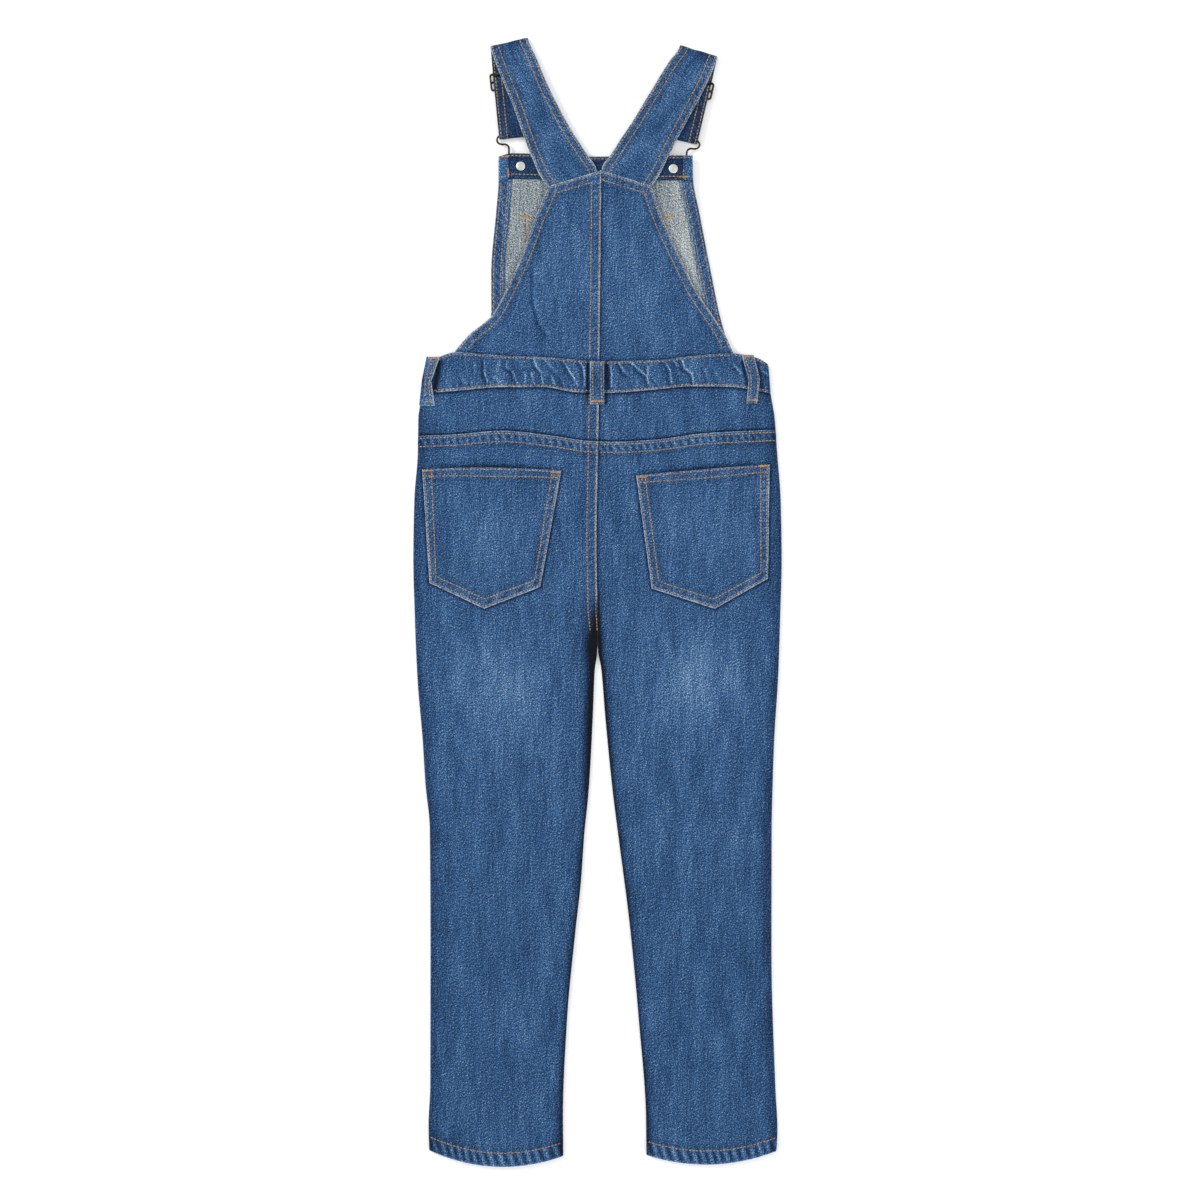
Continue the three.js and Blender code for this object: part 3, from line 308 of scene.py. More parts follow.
def bumped(nodes, links, height, strength, distance, shader):
    bump = nodes.new("ShaderNodeBump")
    bump.inputs["Strength"].default_value = strength
    bump.inputs["Distance"].default_value = distance
    links.new(height, bump.inputs["Height"])
    links.new(bump.outputs["Normal"], shader.inputs["Normal"])


def woven(name, tones, speckle=1.9, slub=0.36, lean=0.5, sheen=0.1):
    """Washed twill. A ramp from unfaded to white cotton is read at one half, plus the mesh's attribute of
    fading and painted shade, plus noises on the cloth's own grain: salt-and-pepper specks drawn out along
    the twill line, uneven warp threads that run down as long streaks with weaker ones across, and broad
    cloudy patches. Fine ribs along the twill line, which leans by `lean` from the warp, and the specks
    lift the surface."""
    material, nodes, links, shader = new_look(name)
    shader.inputs["Roughness"].default_value = 0.88
    shader.inputs["Specular IOR Level"].default_value = 0.18
    shader.inputs["Sheen Weight"].default_value = sheen
    shader.inputs["Sheen Roughness"].default_value = 0.45
    cloth_map = nodes.new("ShaderNodeUVMap")
    cloth_map.uv_map = "cloth"
    worn = nodes.new("ShaderNodeAttribute")
    worn.attribute_name = "wear_and_shade"

    def grain_noise(stretch, scale, detail, rough, turn=0.0):
        place = nodes.new("ShaderNodeMapping")
        place.vector_type = "TEXTURE"
        place.inputs["Rotation"].default_value = (0, 0, turn)
        place.inputs["Scale"].default_value = stretch
        links.new(cloth_map.outputs["UV"], place.inputs["Vector"])
        noise = nodes.new("ShaderNodeTexNoise")
        noise.inputs["Scale"].default_value = scale
        noise.inputs["Detail"].default_value = detail
        noise.inputs["Roughness"].default_value = rough
        links.new(place.outputs["Vector"], noise.inputs["Vector"])
        return noise.outputs["Fac"]

    def weighed(value, weight, onto):
        """onto + weight * (value - one half)"""
        step = nodes.new("ShaderNodeMath")
        step.operation = "MULTIPLY_ADD"
        step.inputs[1].default_value = weight
        links.new(value, step.inputs[0])
        centred = nodes.new("ShaderNodeMath")
        centred.operation = "SUBTRACT"
        centred.inputs[1].default_value = weight / 2
        links.new(onto, centred.inputs[0])
        links.new(centred.outputs[0], step.inputs[2])
        return step.outputs[0]

    specks = grain_noise((1, 1.7, 1), 1120, 1.5, 0.6, lean)
    warp = grain_noise((1, 16, 1), 520, 2.0, 0.6)
    weft = grain_noise((11, 1, 1), 560, 1.0, 0.5)
    cloud = grain_noise((1, 4, 1), 62, 3.0, 0.6)
    half = nodes.new("ShaderNodeMath")
    half.operation = "ADD"
    half.inputs[1].default_value = 0.5
    links.new(worn.outputs["Fac"], half.inputs[0])
    tone = weighed(cloud, 0.34, half.outputs[0])
    tone = weighed(warp, slub, tone)
    tone = weighed(weft, slub * 0.2, tone)
    tone = weighed(specks, speckle, tone)
    toned(nodes, links, tone, tones, shader)

    ribs = nodes.new("ShaderNodeTexWave")
    ribs.wave_type = "BANDS"
    ribs.bands_direction = "X"
    ribs.inputs["Scale"].default_value = 230
    ribs.inputs["Distortion"].default_value = 1.6
    ribs.inputs["Detail"].default_value = 1.0
    ribs.inputs["Detail Scale"].default_value = 3.0
    slant = nodes.new("ShaderNodeMapping")
    slant.inputs["Rotation"].default_value = (0, 0, -lean)
    links.new(cloth_map.outputs["UV"], slant.inputs["Vector"])
    links.new(slant.outputs["Vector"], ribs.inputs["Vector"])
    height = nodes.new("ShaderNodeMix")
    height.data_type = "FLOAT"
    height.inputs["Factor"].default_value = 0.6
    links.new(ribs.outputs["Fac"], height.inputs["A"])
    links.new(specks, height.inputs["B"])
    bumped(nodes, links, height.outputs["Result"], 0.5, 0.00022, shader)
    return material


DENIM = woven("washed_denim", [
    (0.0, (5, 10, 22)), (0.22, (16, 34, 61)), (0.38, (26, 57, 95)), (0.5, (38, 75, 119)),
    (0.62, (54, 96, 143)), (0.8, (96, 132, 169)), (1.0, (172, 190, 205)),
])


def spun(name, dark, light, rough):
    """Cotton thread: two tones in fine slanting plies, and a soft shine."""
    material, nodes, links, shader = new_look(name)
    shader.inputs["Roughness"].default_value = rough
    shader.inputs["Sheen Weight"].default_value = 0.1
    place = nodes.new("ShaderNodeTexCoord")
    plies = nodes.new("ShaderNodeTexNoise")
    plies.inputs["Scale"].default_value = 420
    plies.inputs["Detail"].default_value = 2.0
    links.new(place.outputs["Object"], plies.inputs["Vector"])
    toned(nodes, links, plies.outputs["Fac"], [(0.35, dark), (0.68, light)], shader)
    bumped(nodes, links, plies.outputs["Fac"], 0.4, 0.0001, shader)
    return material


GOLD_THREAD = spun("golden_thread", (136, 96, 27), (220, 168, 69), 0.6)
TACK_THREAD = spun("orange_thread", (176, 112, 26), (232, 168, 66), 0.6)


STITCH_SIDES = 6
STITCH_RINGS = np.array([-1, -0.72, 0.72, 1])  # places along half a stitch
STITCH_DIP = np.array([-0.28, 0.06, 0.06, -0.28])
STITCH_GIRTH = np.array([0.4, 1, 1, 0.4])


def sewn(name, seams, look=GOLD_THREAD, length=2.7, pitch=3.4, width=0.9, height=0.66):
    """Stitches along seams, each a path of points with the surface's normals. A stitch is a six-sided
    thread of four rings that follows the path, dips into the cloth at both ends and is closed there."""
    draw = np.random.default_rng(len(name))
    bodies = []
    for path, normal in seams:
        run = np.concatenate([[0], np.cumsum(np.linalg.norm(np.diff(path, axis=0), axis=1))])
        count = max(int(run[-1] / pitch), 1)
        centre = (np.arange(count) + 0.5) * run[-1] / count
        stretch = length / 2 * draw.uniform(0.9, 1.06, count)
        at = centre[:, None] + stretch[:, None] * STITCH_RINGS
        at = np.clip(at, 0, run[-1])
        place, up, ahead = (
            np.stack([np.interp(at, run, values[:, k]) for k in range(3)], axis=-1)
            for values in (path, normal, np.gradient(path, run, axis=0))
        )
        up /= np.linalg.norm(up, axis=-1, keepdims=True)
        across = np.cross(ahead, up)
        across /= np.linalg.norm(across, axis=-1, keepdims=True)
        place = place + across * draw.normal(0, 0.07, (count, 1, 1))
        place = place + up * STITCH_DIP[:, None]
        turn = np.arange(STITCH_SIDES) * np.pi / 3
        girth = STITCH_GIRTH[:, None, None] / 2
        around = (across[..., None, :] * np.cos(turn)[:, None] * width
                  + up[..., None, :] * np.sin(turn)[:, None] * height) * girth
        bodies.append(place[..., None, :] + around)
    points = np.concatenate(bodies)
    each = np.arange(4 * STITCH_SIDES).reshape(4, STITCH_SIDES)
    sides = np.stack([each[:-1], np.roll(each[:-1], -1, 1), np.roll(each[1:], -1, 1), each[1:]], axis=-1)
    caps = np.array([[3, 2, 1, 0], [5, 4, 3, 0], [18, 19, 20, 21], [18, 21, 22, 23]])
    quads = np.concatenate([sides.reshape(-1, 4), caps])
    quads = (quads + each.size * np.arange(len(points))[:, None, None]).reshape(-1, 4)
    mesh = quad_mesh(name, points, quads)
    mesh.materials.append(look)
    piece = put_in(name, mesh)
    return piece


def laid_on(surface, x, y):
    """A seam over a height function: its points and the normals of the surface there."""
    shape = np.broadcast_shapes(np.shape(x), np.shape(y))
    x, y = (np.broadcast_to(v, shape).astype(float) for v in (x, y))
    z = surface(x, y)
    slope_x = surface(x + 0.5, y) - surface(x - 0.5, y)
    slope_y = surface(x, y + 0.5) - surface(x, y - 0.5)
    return np.stack([x, y, z], axis=-1), np.stack([-slope_x, -slope_y, np.ones_like(z)], axis=-1)


def bar_tack(surface, x, y, length, turn, width=1.9):
    """A dense bar of zigzag stitches, `length` long and turned anticlockwise from across."""
    bars = []
    for s in np.linspace(-length / 2, length / 2, int(length / 0.55)):
        t = np.linspace(-width / 2, width / 2, 5)
        px = x + s * np.cos(turn) - t * np.sin(turn)
        py = y + s * np.sin(turn) + t * np.cos(turn)
        bars.append(laid_on(surface, px, py))
    return bars


def inset(x, y, distance):
    """A line moved to its left, seen along it, by a distance in the plane."""
    dx, dy = np.gradient(x), np.gradient(y)
    size = np.hypot(dx, dy)
    return x - distance * dy / size, y + distance * dx / size


NEAR_EDGE = np.array([0, 0.25, 0.7, 1.3, 2.2, 3.4, 5, 7, 9.2, 11.6, 14])
NEAR_SEAM = np.array([0, 0.3, 0.8, 1.4, 2, 2.6, 3.8, 5.4, 7, 8.4, 9.2, 9.8, 10.6, 11.2, 12, 14])
NEAR_LAP = np.array([0, 0.3, 0.8, 1.5, 2.2, 2.8, 3.4, 4.6, 6.2, 7.8, 9.4, 10.4, 11, 11.6, 12.4, 13.2, 15])
NEAR_HEM = np.array([0, 0.3, 0.8, 1.5, 3, 5, 7, 9, 11, 12.8, 14, 14.7, 15.4, 16.4, 18])

# Corners and middle of each pocket's opening, then the corners and tip of its lower edge
POCKET_SHAPES = {
    "left": ([(-175.1, 132.7), (-105, 134.4), (-36.1, 131.3)], [(-168, 19), (-113.3, -6.9), (-57.2, 14.9)]),
    "right": ([(38.6, 126.4), (105, 132.6), (171.9, 137.6)], [(54.1, 13.5), (117.2, -6.9), (170.5, 23.3)]),
}

# Where the wash has faded the cloth or left it dark, with painted shade over the crotch and in a fold on
# the left thigh: place, half width and half height, amount
FADES = np.array([
    (-113, -66, 34, 34, 0.06), (-86, -108, 32, 36, 0.07), (108, -74, 30, 34, 0.085),
    (86, -84, 36, 34, 0.05), (-98, -86, 50, 62, 0.045), (98, -84, 52, 60, 0.045),
    (0, -30, 26, 40, -0.04), (-60, -164, 12, 10, -0.07), (-120, -440, 60, 110, -0.02),
    (124, -430, 60, 110, -0.025), (-104, -300, 60, 110, -0.012),
])
# Painted shade in the hollow of the crotch and painted shadow down the inside leg: amount and width of each
CROTCH_SHADE = {"left": (1.2, 9.0, 0.6, 7.0), "right": (0.8, 3.6, 0.26, 3.5)}


def pocket_shade(side, x, y):
    """Painted shadow beside a pocket: a narrow dark line along its edges and a broader one above the
    middle of its opening, as bell curves of the distance."""
    top, low = (np.array(row) for row in POCKET_SHAPES[side])
    ends = np.array([low[0], low[1], low[2], top[2]])
    starts = np.array([top[0], low[0], low[1], low[2]])
    run = (ends - starts)[(...,) + (None,) * np.ndim(x)]
    dx, dy = (np.array([x, y]) - starts[(...,) + (None,) * np.ndim(x)]).swapaxes(0, 1)
    t = np.clip((dx * run[:, 0] + dy * run[:, 1]) / (run[:, 0] ** 2 + run[:, 1] ** 2), 0, 1)
    away = np.hypot(dx - t * run[:, 0], dy - t * run[:, 1]).min(axis=0)
    across = (x - top[0, 0]) / (top[2, 0] - top[0, 0])
    over = y - (top[0, 1] * (1 - across) + top[2, 1] * across + 4 * across * (1 - across)
                * (top[1, 1] - (top[0, 1] + top[2, 1]) / 2))
    opening = bell(over, 3.4) * np.sin(np.pi * np.clip(across, 0, 1)) ** 0.7
    return 0.3 * bell(away, 1.9) + 0.34 * opening


def leg_fade_and_shade(side, x, y):
    """Fades of the wash as bell curves; darker towards the side, partly as unfaded cloth and partly as
    painted shade where the back turns down; painted shade towards the inside leg, in the hollow of the
    crotch and down the inside leg; and painted shadow beside the fell on the right half and round the
    pocket."""
    cx, cy, wide, tall, amount = FADES.T[(...,) + (None,) * np.ndim(x)]
    faded = np.sum(amount * np.exp(-((x - cx) / wide) ** 2 - ((y - cy) / tall) ** 2), axis=0)
    outward = OUTWARD[side]
    from_side = outward * (SIDE[side](y) - x)
    from_inner = outward * (x - inner_edge(side, y))
    rolled = crotch_fall(y)
    pit, pit_width, shadow, shadow_width = CROTCH_SHADE[side]
    # Painted shade: the hollow of the crotch, the shadow down the inside leg and a dark line along the
    # inner edge.
    dark = pit * np.exp(-((from_inner / pit_width) ** 2) - ((y + 45) / 14) ** 2)
    down_leg = fall((-90 - y) / 150) * fall((y + 30) / 40)
    dark = dark + shadow * bell(from_inner, shadow_width) * down_leg
    dark = dark + 0.35 * bell(from_inner, 3) * fall((y + 24) / 44)
    # Painted shade towards the side where the back turns down (partly unfaded cloth too), towards the
    # inside leg where it rolls down, beside the fell on the right half and round the pocket.
    return (faded - dark - 0.13 * fall(from_side / 13) - 0.03 * fall(from_side / 40)
            - rolled * (0.12 * fall(from_inner / 12) + 0.02 * fall(from_inner / 40))
            - 0.05 * fall(np.abs(from_inner - FELL_WIDTH - 2) / 5) * (side == "left") * (1 - rolled)
            - (0.26 * bell(from_inner, 1.7) + 0.06 * fall(from_inner / 8))
            * (side == "right") * (1 - rolled) - pocket_shade(side, x, y))


def leg_top(side, x, y):
    """Top of a back leg: the layer, with the fell, the lap at the yoke and the hem standing on it."""
    from_top, from_bottom = YOKE_SEAM(x) - y, y - leg_opening(side, x)
    return back_layer(side, x, y) + LEG_CLOTH / 2 + leg_rise(side, x, y, from_top, from_bottom)


def leg_opening(side, x):
    """Lower edge of a leg: a straight line from the outer to the inner end, sagging as a parabola."""
    outer, inner, sag = LEG_OPENING[side]
    start, end = SIDE[side](-560), INSEAM[side](-560)
    share = np.clip((x - start) / (end - start), 0, 1)
    return outer + (inner - outer) * share - sag * 4 * share * (1 - share)


def fell_rise(side, x, y):
    """The felled centre seam: a raised band on the left half, puckered between its two stitch rows,
    that ends where the rows meet above the crotch."""
    if side == "right":
        return np.zeros_like(x)
    aside = CENTRE_SEAM(y) - x
    closed = fall((CROTCH + 26 - y) / 8)
    pucker = 0.24 * rope(y, FELL_PITCH, 0.5 * aside) * fall(np.abs(aside - 5.5) / 8)
    return closed * (0.75 * fall((aside - FELL_WIDTH + 0.5) / 1.3) + pucker
                     - 0.16 * grooves(aside, FELL_ROWS))


def leg_rise(side, x, y, from_top, from_bottom):
    """What stands on a leg's layer: the lap or the fell, and the hem, puckered and grooved."""
    lap = 0.7 * fall((from_top - LAP_WIDTH) / 1.2)
    lap = lap + 0.42 * rope(x, LAP_PITCH, -0.3 * from_top) * fall(np.abs(from_top - 6.9) / 6)
    lap = lap - 0.2 * grooves(from_top, LAP_ROWS)
    hem = 0.7 * fall((from_bottom - LEG_HEM) / 1.4)
    hem = hem + 0.7 * rope(x, HEM_PITCH, 0.3 * from_bottom) * fall(np.abs(from_bottom - 8) / 14)
    hem = hem - 0.22 * bell(from_bottom - HEM_ROW, 0.9)
    return np.maximum(lap, fell_rise(side, x, y)) + hem


def seam_wear(x, y):
    """Wear of the felled seam: nearly white along its folded edge, and in spots between its rows."""
    aside = CENTRE_SEAM(y) - x
    return (0.5 * bell(aside - 0.5, 0.75) * (0.8 + 0.2 * uneven(x, y, 30, 4, 6))
            + 0.13 * (rope(y, FELL_PITCH, 0.5 * aside) - 0.55) * fall(np.abs(aside - 5.5) / 6))


SEAT_DEPTH = 182  # the rows stand closer above this distance down from the yoke
for side in ("left", "right"):
    middle_x = float(SIDE[side](0)) / 2
    top_line, bottom_line = float(YOKE_SEAM(middle_x)), float(leg_opening(side, middle_x))
    length = top_line - bottom_line
    down = np.concatenate([
        NEAR_LAP, between(NEAR_LAP[-1], SEAT_DEPTH, 1.9),
        between(SEAT_DEPTH, length - NEAR_HEM[-1], 3.4), length - NEAR_HEM[::-1],
    ])[:, None]
    near = {"left": NEAR_SEAM, "right": NEAR_EDGE}[side]
    x = across_half(side, top_line - down, NEAR_EDGE, near, 82)
    share = down / length
    y = YOKE_SEAM(x) + (leg_opening(side, x) - YOKE_SEAM(x)) * share
    from_top, from_bottom = np.broadcast_to(down, x.shape), length - down
    middle = np.stack([x, y, back_layer(side, x, y)], axis=-1)
    rise = leg_rise(side, x, y, from_top, from_bottom)
    ends = roll(from_top, 1.1) * roll(from_bottom, 1.4)
    edges = roll(OUTWARD[side] * (SIDE[side](y) - x) - LEG_CLOTH / 2, 0.8)
    sunk = LEG_CLOTH / 2 * np.sin(crotch_fall(y) * np.pi / 2)
    edges = edges * roll(OUTWARD[side] * (x - inner_edge(side, y)) - sunk, 0.8)
    wear_and_shade = leg_fade_and_shade(side, x, y)
    wear_and_shade = wear_and_shade + 0.3 * bell(from_top - 0.5, 0.8) + 0.3 * bell(from_bottom - 0.4, 0.9)
    wear_and_shade = wear_and_shade + 0.36 * (rope(x, LAP_PITCH, -0.3 * from_top) - 0.5) * fall(np.abs(from_top - 6.9) / 5.5)
    wear_and_shade = wear_and_shade + 0.44 * (rope(x, HEM_PITCH, 0.3 * from_bottom) - 0.55) * fall(np.abs(from_bottom - 8) / 12)
    wear_and_shade = wear_and_shade - 0.06 * fall(np.abs(from_top - 14) / 4) - 0.06 * fall(np.abs(from_bottom - 17) / 3)
    if side == "left":
        wear_and_shade = wear_and_shade + (1 - crotch_fall(y)) * seam_wear(x, y)
    leg = cloth(f"back_leg_{side}_cloth", middle, (LEG_CLOTH / 2 + rise) * ends * edges,
                LEG_CLOTH / 2 * ends * edges, np.stack([x, y], axis=-1), wear_and_shade, [DENIM])
    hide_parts(f"back_leg_{side}")

    def surface(px, py):
        return leg_top(side, px, py)

    start, end = sorted((float(SIDE[side](165)), float(CENTRE_SEAM(165))))
    px = np.arange(start + 1.5, end - 1, 1.5)
    seams = [laid_on(surface, px, YOKE_SEAM(px) - row) for row in LAP_ROWS]
    start, end = sorted((float(SIDE[side](-548)), float(INSEAM[side](-548))))
    px = np.arange(start + 2, end - 1, 1.5)
    seams.append(laid_on(surface, px, leg_opening(side, px) + HEM_ROW))
    if side == "left":
        py = np.arange(160, -30, -1.5)
        taper = fall((-4 - py) / 30)
        seams.append(laid_on(surface, CENTRE_SEAM(py) - 1.3 * taper - 0.3, py))
        seams.append(laid_on(surface, CENTRE_SEAM(py) - 7.2 - 2.4 * taper, py))
    stitches = sewn(f"back_leg_{side}_stitches", seams)

# ---------------------------------------------------------------------------
# Yoke. Two shaped halves between the waistband and the legs, felled at the centre
# back like the legs, with their lower edges tucked under the lap of the legs.
# ---------------------------------------------------------------------------
WAIST_BOTTOM = through([(-173, 208.7), (-157, 209.9), (-142, 211), (-95, 214.8), (-54, 214.8), (-21, 209.7),
                        (10, 209), (57, 212.3), (95, 215.6), (134, 215), (160, 211), (173, 209)])

for side in ("left", "right"):
    middle_x = float(SIDE[side](0)) / 2
    top_line = float(WAIST_BOTTOM(middle_x)) - GAP
    length = top_line - float(YOKE_SEAM(middle_x)) - GAP
    down = np.concatenate([[0, 0.4, 1, 2, 3.5], between(3.5, length - 4, 2.4),
                           [length - 4, length - 2.4, length - 1.2, length - 0.5, length]])[:, None]
    near = {"left": NEAR_SEAM, "right": NEAR_EDGE}[side]
    x = across_half(side, top_line - down, NEAR_EDGE, near, 70)
    start, end = WAIST_BOTTOM(x) - GAP, YOKE_SEAM(x) + GAP
    y = start + (end - start) * down / length
    from_top, from_bottom = start - y, y - end
    edges = roll(OUTWARD[side] * (SIDE[side](y) - x) - LEG_CLOTH / 2, 0.8) * roll(from_bottom, 0.7)
    rise = fell_rise(side, x, y) + 0.12 * rope(x, LAP_PITCH, 4) * fall(from_bottom / 6)
    # Painted shadow along the lower edge under the lap of the leg and along the upper edge under the
    # waistband, and painted shade beside the foot of the centre loop.
    wear_and_shade = leg_fade_and_shade(side, x, y) - 0.36 * bell(from_bottom, 1.3) - 0.04 * fall(from_bottom / 5)
    wear_and_shade = wear_and_shade - 0.34 * bell(from_top, 1.6) - 0.06 * fall(from_top / 7)
    wear_and_shade = wear_and_shade - 0.3 * bell(np.abs(x + 0.3) - 8.8, 1.6) * fall((200 - y) / 4)
    if side == "left":
        wear_and_shade = wear_and_shade + seam_wear(x, y)
    wear_and_shade = wear_and_shade + 0.12 * bell(x - 11.5, 1.5) * fall((y - 180) / 20)
    yoke = cloth(f"back_yoke_{side}_cloth", np.stack([x, y, back_layer(side, x, y)], axis=-1),
                 (LEG_CLOTH / 2 + rise) * edges, LEG_CLOTH / 2 * edges, np.stack([x, y], axis=-1), wear_and_shade,
                 [DENIM])
    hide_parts(f"back_yoke_{side}")
    if side == "left":
        py = np.arange(208, 161.5, -1.5)

        def surface(px, py):
            return back_layer("left", px, py) + LEG_CLOTH / 2 + fell_rise("left", px, py)

        seams = [laid_on(surface, CENTRE_SEAM(py) - row, py) for row in FELL_ROWS]
        sewn("back_yoke_stitches", seams)

# ---------------------------------------------------------------------------
# Back pockets. Five-sided patches with a hemmed opening that gapes a little, their
# other edges turned under and double stitched to the leg, tacked at the corners.
# ---------------------------------------------------------------------------
POCKET = 1.2
POCKET_HEM = 9.5
POCKET_ROWS = (2.4, 8.8)
OPENING_ROWS = (1.9, 8.9)
SIDE_PITCH, OPENING_PITCH = 8.4, 7.0
# The faded middle of each pocket: place, half width and half height, amount
POCKET_FADE = {"left": (-106, 70, 34, 36, 0.045), "right": (108, 74, 36, 38, 0.05)}


def on_layer(side, x, y, out):
    """Points that stand `out` from the back layer's middle, along its normal, and those normals."""
    z = back_layer(side, x, y)
    slope_x = back_layer(side, x + 0.5, y) - back_layer(side, x - 0.5, y)
    slope_y = back_layer(side, x, y + 0.5) - back_layer(side, x, y - 0.5)
    normal = np.stack([-slope_x, -slope_y, np.ones_like(z)], axis=-1)
    normal /= np.linalg.norm(normal, axis=-1, keepdims=True)
    return np.stack([x, y, z], axis=-1) + normal * np.asarray(out)[..., None], normal


for side, (top, bottom) in POCKET_SHAPES.items():
    top, bottom = np.array(top), np.array(bottom)
    bend = 2 * top[1] - (top[0] + top[2]) / 2
    width = top[2, 0] - top[0, 0]

    def patch(u, v):
        """Place at a share u across and v down: from a parabola through the three points of the
        opening to the pointed lower edge. Also gives the distances from the top, sides and bottom."""
        upper = (((1 - u) ** 2)[..., None] * top[0] + (2 * u * (1 - u))[..., None] * bend
                 + (u**2)[..., None] * top[2])
        lower = np.stack([np.interp(u, (0, 0.5, 1), bottom[:, k]) for k in (0, 1)], axis=-1)
        tall = np.linalg.norm(upper - lower, axis=-1)
        place = upper + (lower - upper) * v[..., None]
        return place[..., 0], place[..., 1], v * tall, np.minimum(u, 1 - u) * width, (1 - v) * tall * 0.9

    def standing(u, v):
        """How far the patch's top stands over its own flat cloth, and how far it gapes."""
        x, y, from_top, from_side, from_bottom = patch(u, v)
        edge = np.minimum(from_side, from_bottom)
        hem = 0.45 * fall((from_top - POCKET_HEM) / 1.2)
        hem = hem + 0.34 * rope(x, OPENING_PITCH, from_top) * fall(np.abs(from_top - 5) / 8)
        sides = 0.32 * rope(x - y, SIDE_PITCH, 0.6 * edge) * fall(np.abs(edge - 5.5) / 8)
        sides = sides + 0.22 * fall((edge - 9) / 2)
        rows = grooves(edge, POCKET_ROWS) + grooves(from_top, OPENING_ROWS)
        soft = 0.22 * uneven(x, y, 60, 14, 8) * np.clip(edge / 20, 0, 1)
        gape = 0.8 * np.sin(np.pi * u) * fall(v / 0.3)
        return np.maximum(hem, sides) - 0.2 * rows + soft, gape

    near = np.array([0, 0.3, 0.7, 1.2, 1.8, 2.4, 3, 4.4, 6, 7.6, 8.3, 8.9, 9.6, 11, 13.4])
    u = np.concatenate([near / width, np.linspace(near[-1] / width, 1 - near[-1] / width, 49)[1:-1],
                        1 - near[::-1] / width])
    high = top[1, 1] - bottom[1, 1]
    v = np.concatenate([near / high, np.linspace(near[-1] / high, 1 - near[-1] / high, 49)[1:-1],
                        1 - near[::-1] / high])
    v, u = np.meshgrid(v, u, indexing="ij")
    x, y, from_top, from_side, from_bottom = patch(u, v)
    rise, gape = standing(u, v)
    middle, _ = on_layer(side, x, y, LEG_CLOTH / 2 + GAP + POCKET / 2 + gape)
    edge = np.minimum(from_side, from_bottom)
    ends = roll(edge, 0.9) * roll(from_top, 0.9)
    cx, cy, wide, tall, amount = POCKET_FADE[side]
    wear_and_shade = amount * np.exp(-((x - cx) / wide) ** 2 - ((y - cy) / tall) ** 2)
    worn = 0.75 + 0.25 * uneven(x, y, 34, 4, 5)
    wear_and_shade = wear_and_shade + worn * (0.5 * bell(edge - 0.5, 0.85) + 0.22 * bell(from_top - 0.4, 0.8))
    wear_and_shade = wear_and_shade + 0.18 * (rope(x - y, SIDE_PITCH, 0.6 * edge) - 0.5) * fall(np.abs(edge - 5.6) / 5)
    wear_and_shade = wear_and_shade + 0.16 * (rope(x, OPENING_PITCH, from_top) - 0.5) * fall(np.abs(from_top - 5.4) / 5)
    wear_and_shade = wear_and_shade - 0.05 * fall(np.abs(edge - 12.5) / 4) - 0.05 * fall(np.abs(from_top - 12) / 4)
    pocket = cloth(f"back_pocket_{side}_cloth", middle, (POCKET / 2 + rise) * ends, POCKET / 2 * ends,
                   np.stack([x + 500, y + 37], axis=-1), wear_and_shade, [DENIM])
    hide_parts(f"back_pocket_{side}")

    seams = []
    for row in POCKET_ROWS:
        s = np.linspace(0, 1, 60)
        first, last = row / width, 1 - row / width
        floor_u = np.linspace(first, last, 90)
        *_, whole = patch(floor_u, np.zeros(90))
        floor_v = 1 - row / whole
        path_u = np.concatenate([np.full(60, first), floor_u[1:-1], np.full(60, last)])
        path_v = np.concatenate([s * floor_v[0], floor_v[1:-1], (1 - s) * floor_v[-1]])
        px, py, *_ = patch(path_u, path_v)
        rise, gape = standing(path_u, path_v)
        seams.append(on_layer(side, px, py, LEG_CLOTH / 2 + GAP + POCKET + gape + rise))
    for row in OPENING_ROWS:
        path_u = np.linspace(0.015, 0.985, 110)
        path_v = np.full(110, row / high)
        px, py, *_ = patch(path_u, path_v)
        rise, gape = standing(path_u, path_v)
        seams.append(on_layer(side, px, py, LEG_CLOTH / 2 + GAP + POCKET + gape + rise))
    stitches = sewn(f"back_pocket_{side}_stitches", seams)

    def pocket_top(px, py):
        return back_layer(side, px, py) + LEG_CLOTH / 2 + GAP + POCKET + 0.5

    bars = []
    for corner, inward in ((top[0], 1), (top[2], -1)):
        bars += bar_tack(pocket_top, corner[0] + inward * 5.4, corner[1] - 1.5, length=9.5, turn=0)
    tacks = sewn(f"back_pocket_{side}_tacks", bars, TACK_THREAD, length=1.7, pitch=1.9, width=0.6)

# ---------------------------------------------------------------------------
# Front of the trousers, under the back: two plain legs with the same turned hems,
# and the plain front waistband. Both lie flat on their right side.
# ---------------------------------------------------------------------------
FRONT_BAND = 2.0
FRONT_TOP, FRONT_BOTTOM = 236, 209
FRONT_DEPTH = FRONT_TOP - FRONT_BOTTOM
FRONT_CREASES = np.array([
    (-150, -150, -70, -168, 0.3, 9), (80, -160, 150, -146, 0.3, 9), (-20, -60, -80, -104, 0.35, 8),
    (20, -60, 82, -98, 0.35, 8), (-130, -300, -70, -312, 0.25, 10), (80, -296, 140, -310, 0.25, 10),
    (-110, 150, -100, 20, 0.25, 12), (110, 150, 104, 24, 0.25, 12), (-112, -340, -104, -500, 0.25, 12),
    (116, -330, 112, -500, 0.25, 12),
])


def columns(first, last, near, count):
    """Columns from first to last: set distances in from each end, and even ones between."""
    u = np.linspace(0, 1, count + 1)[1:-1]
    return np.hstack([first + near, first + near[-1] + (last - first - 2 * near[-1]) * u,
                      last - near[::-1]])


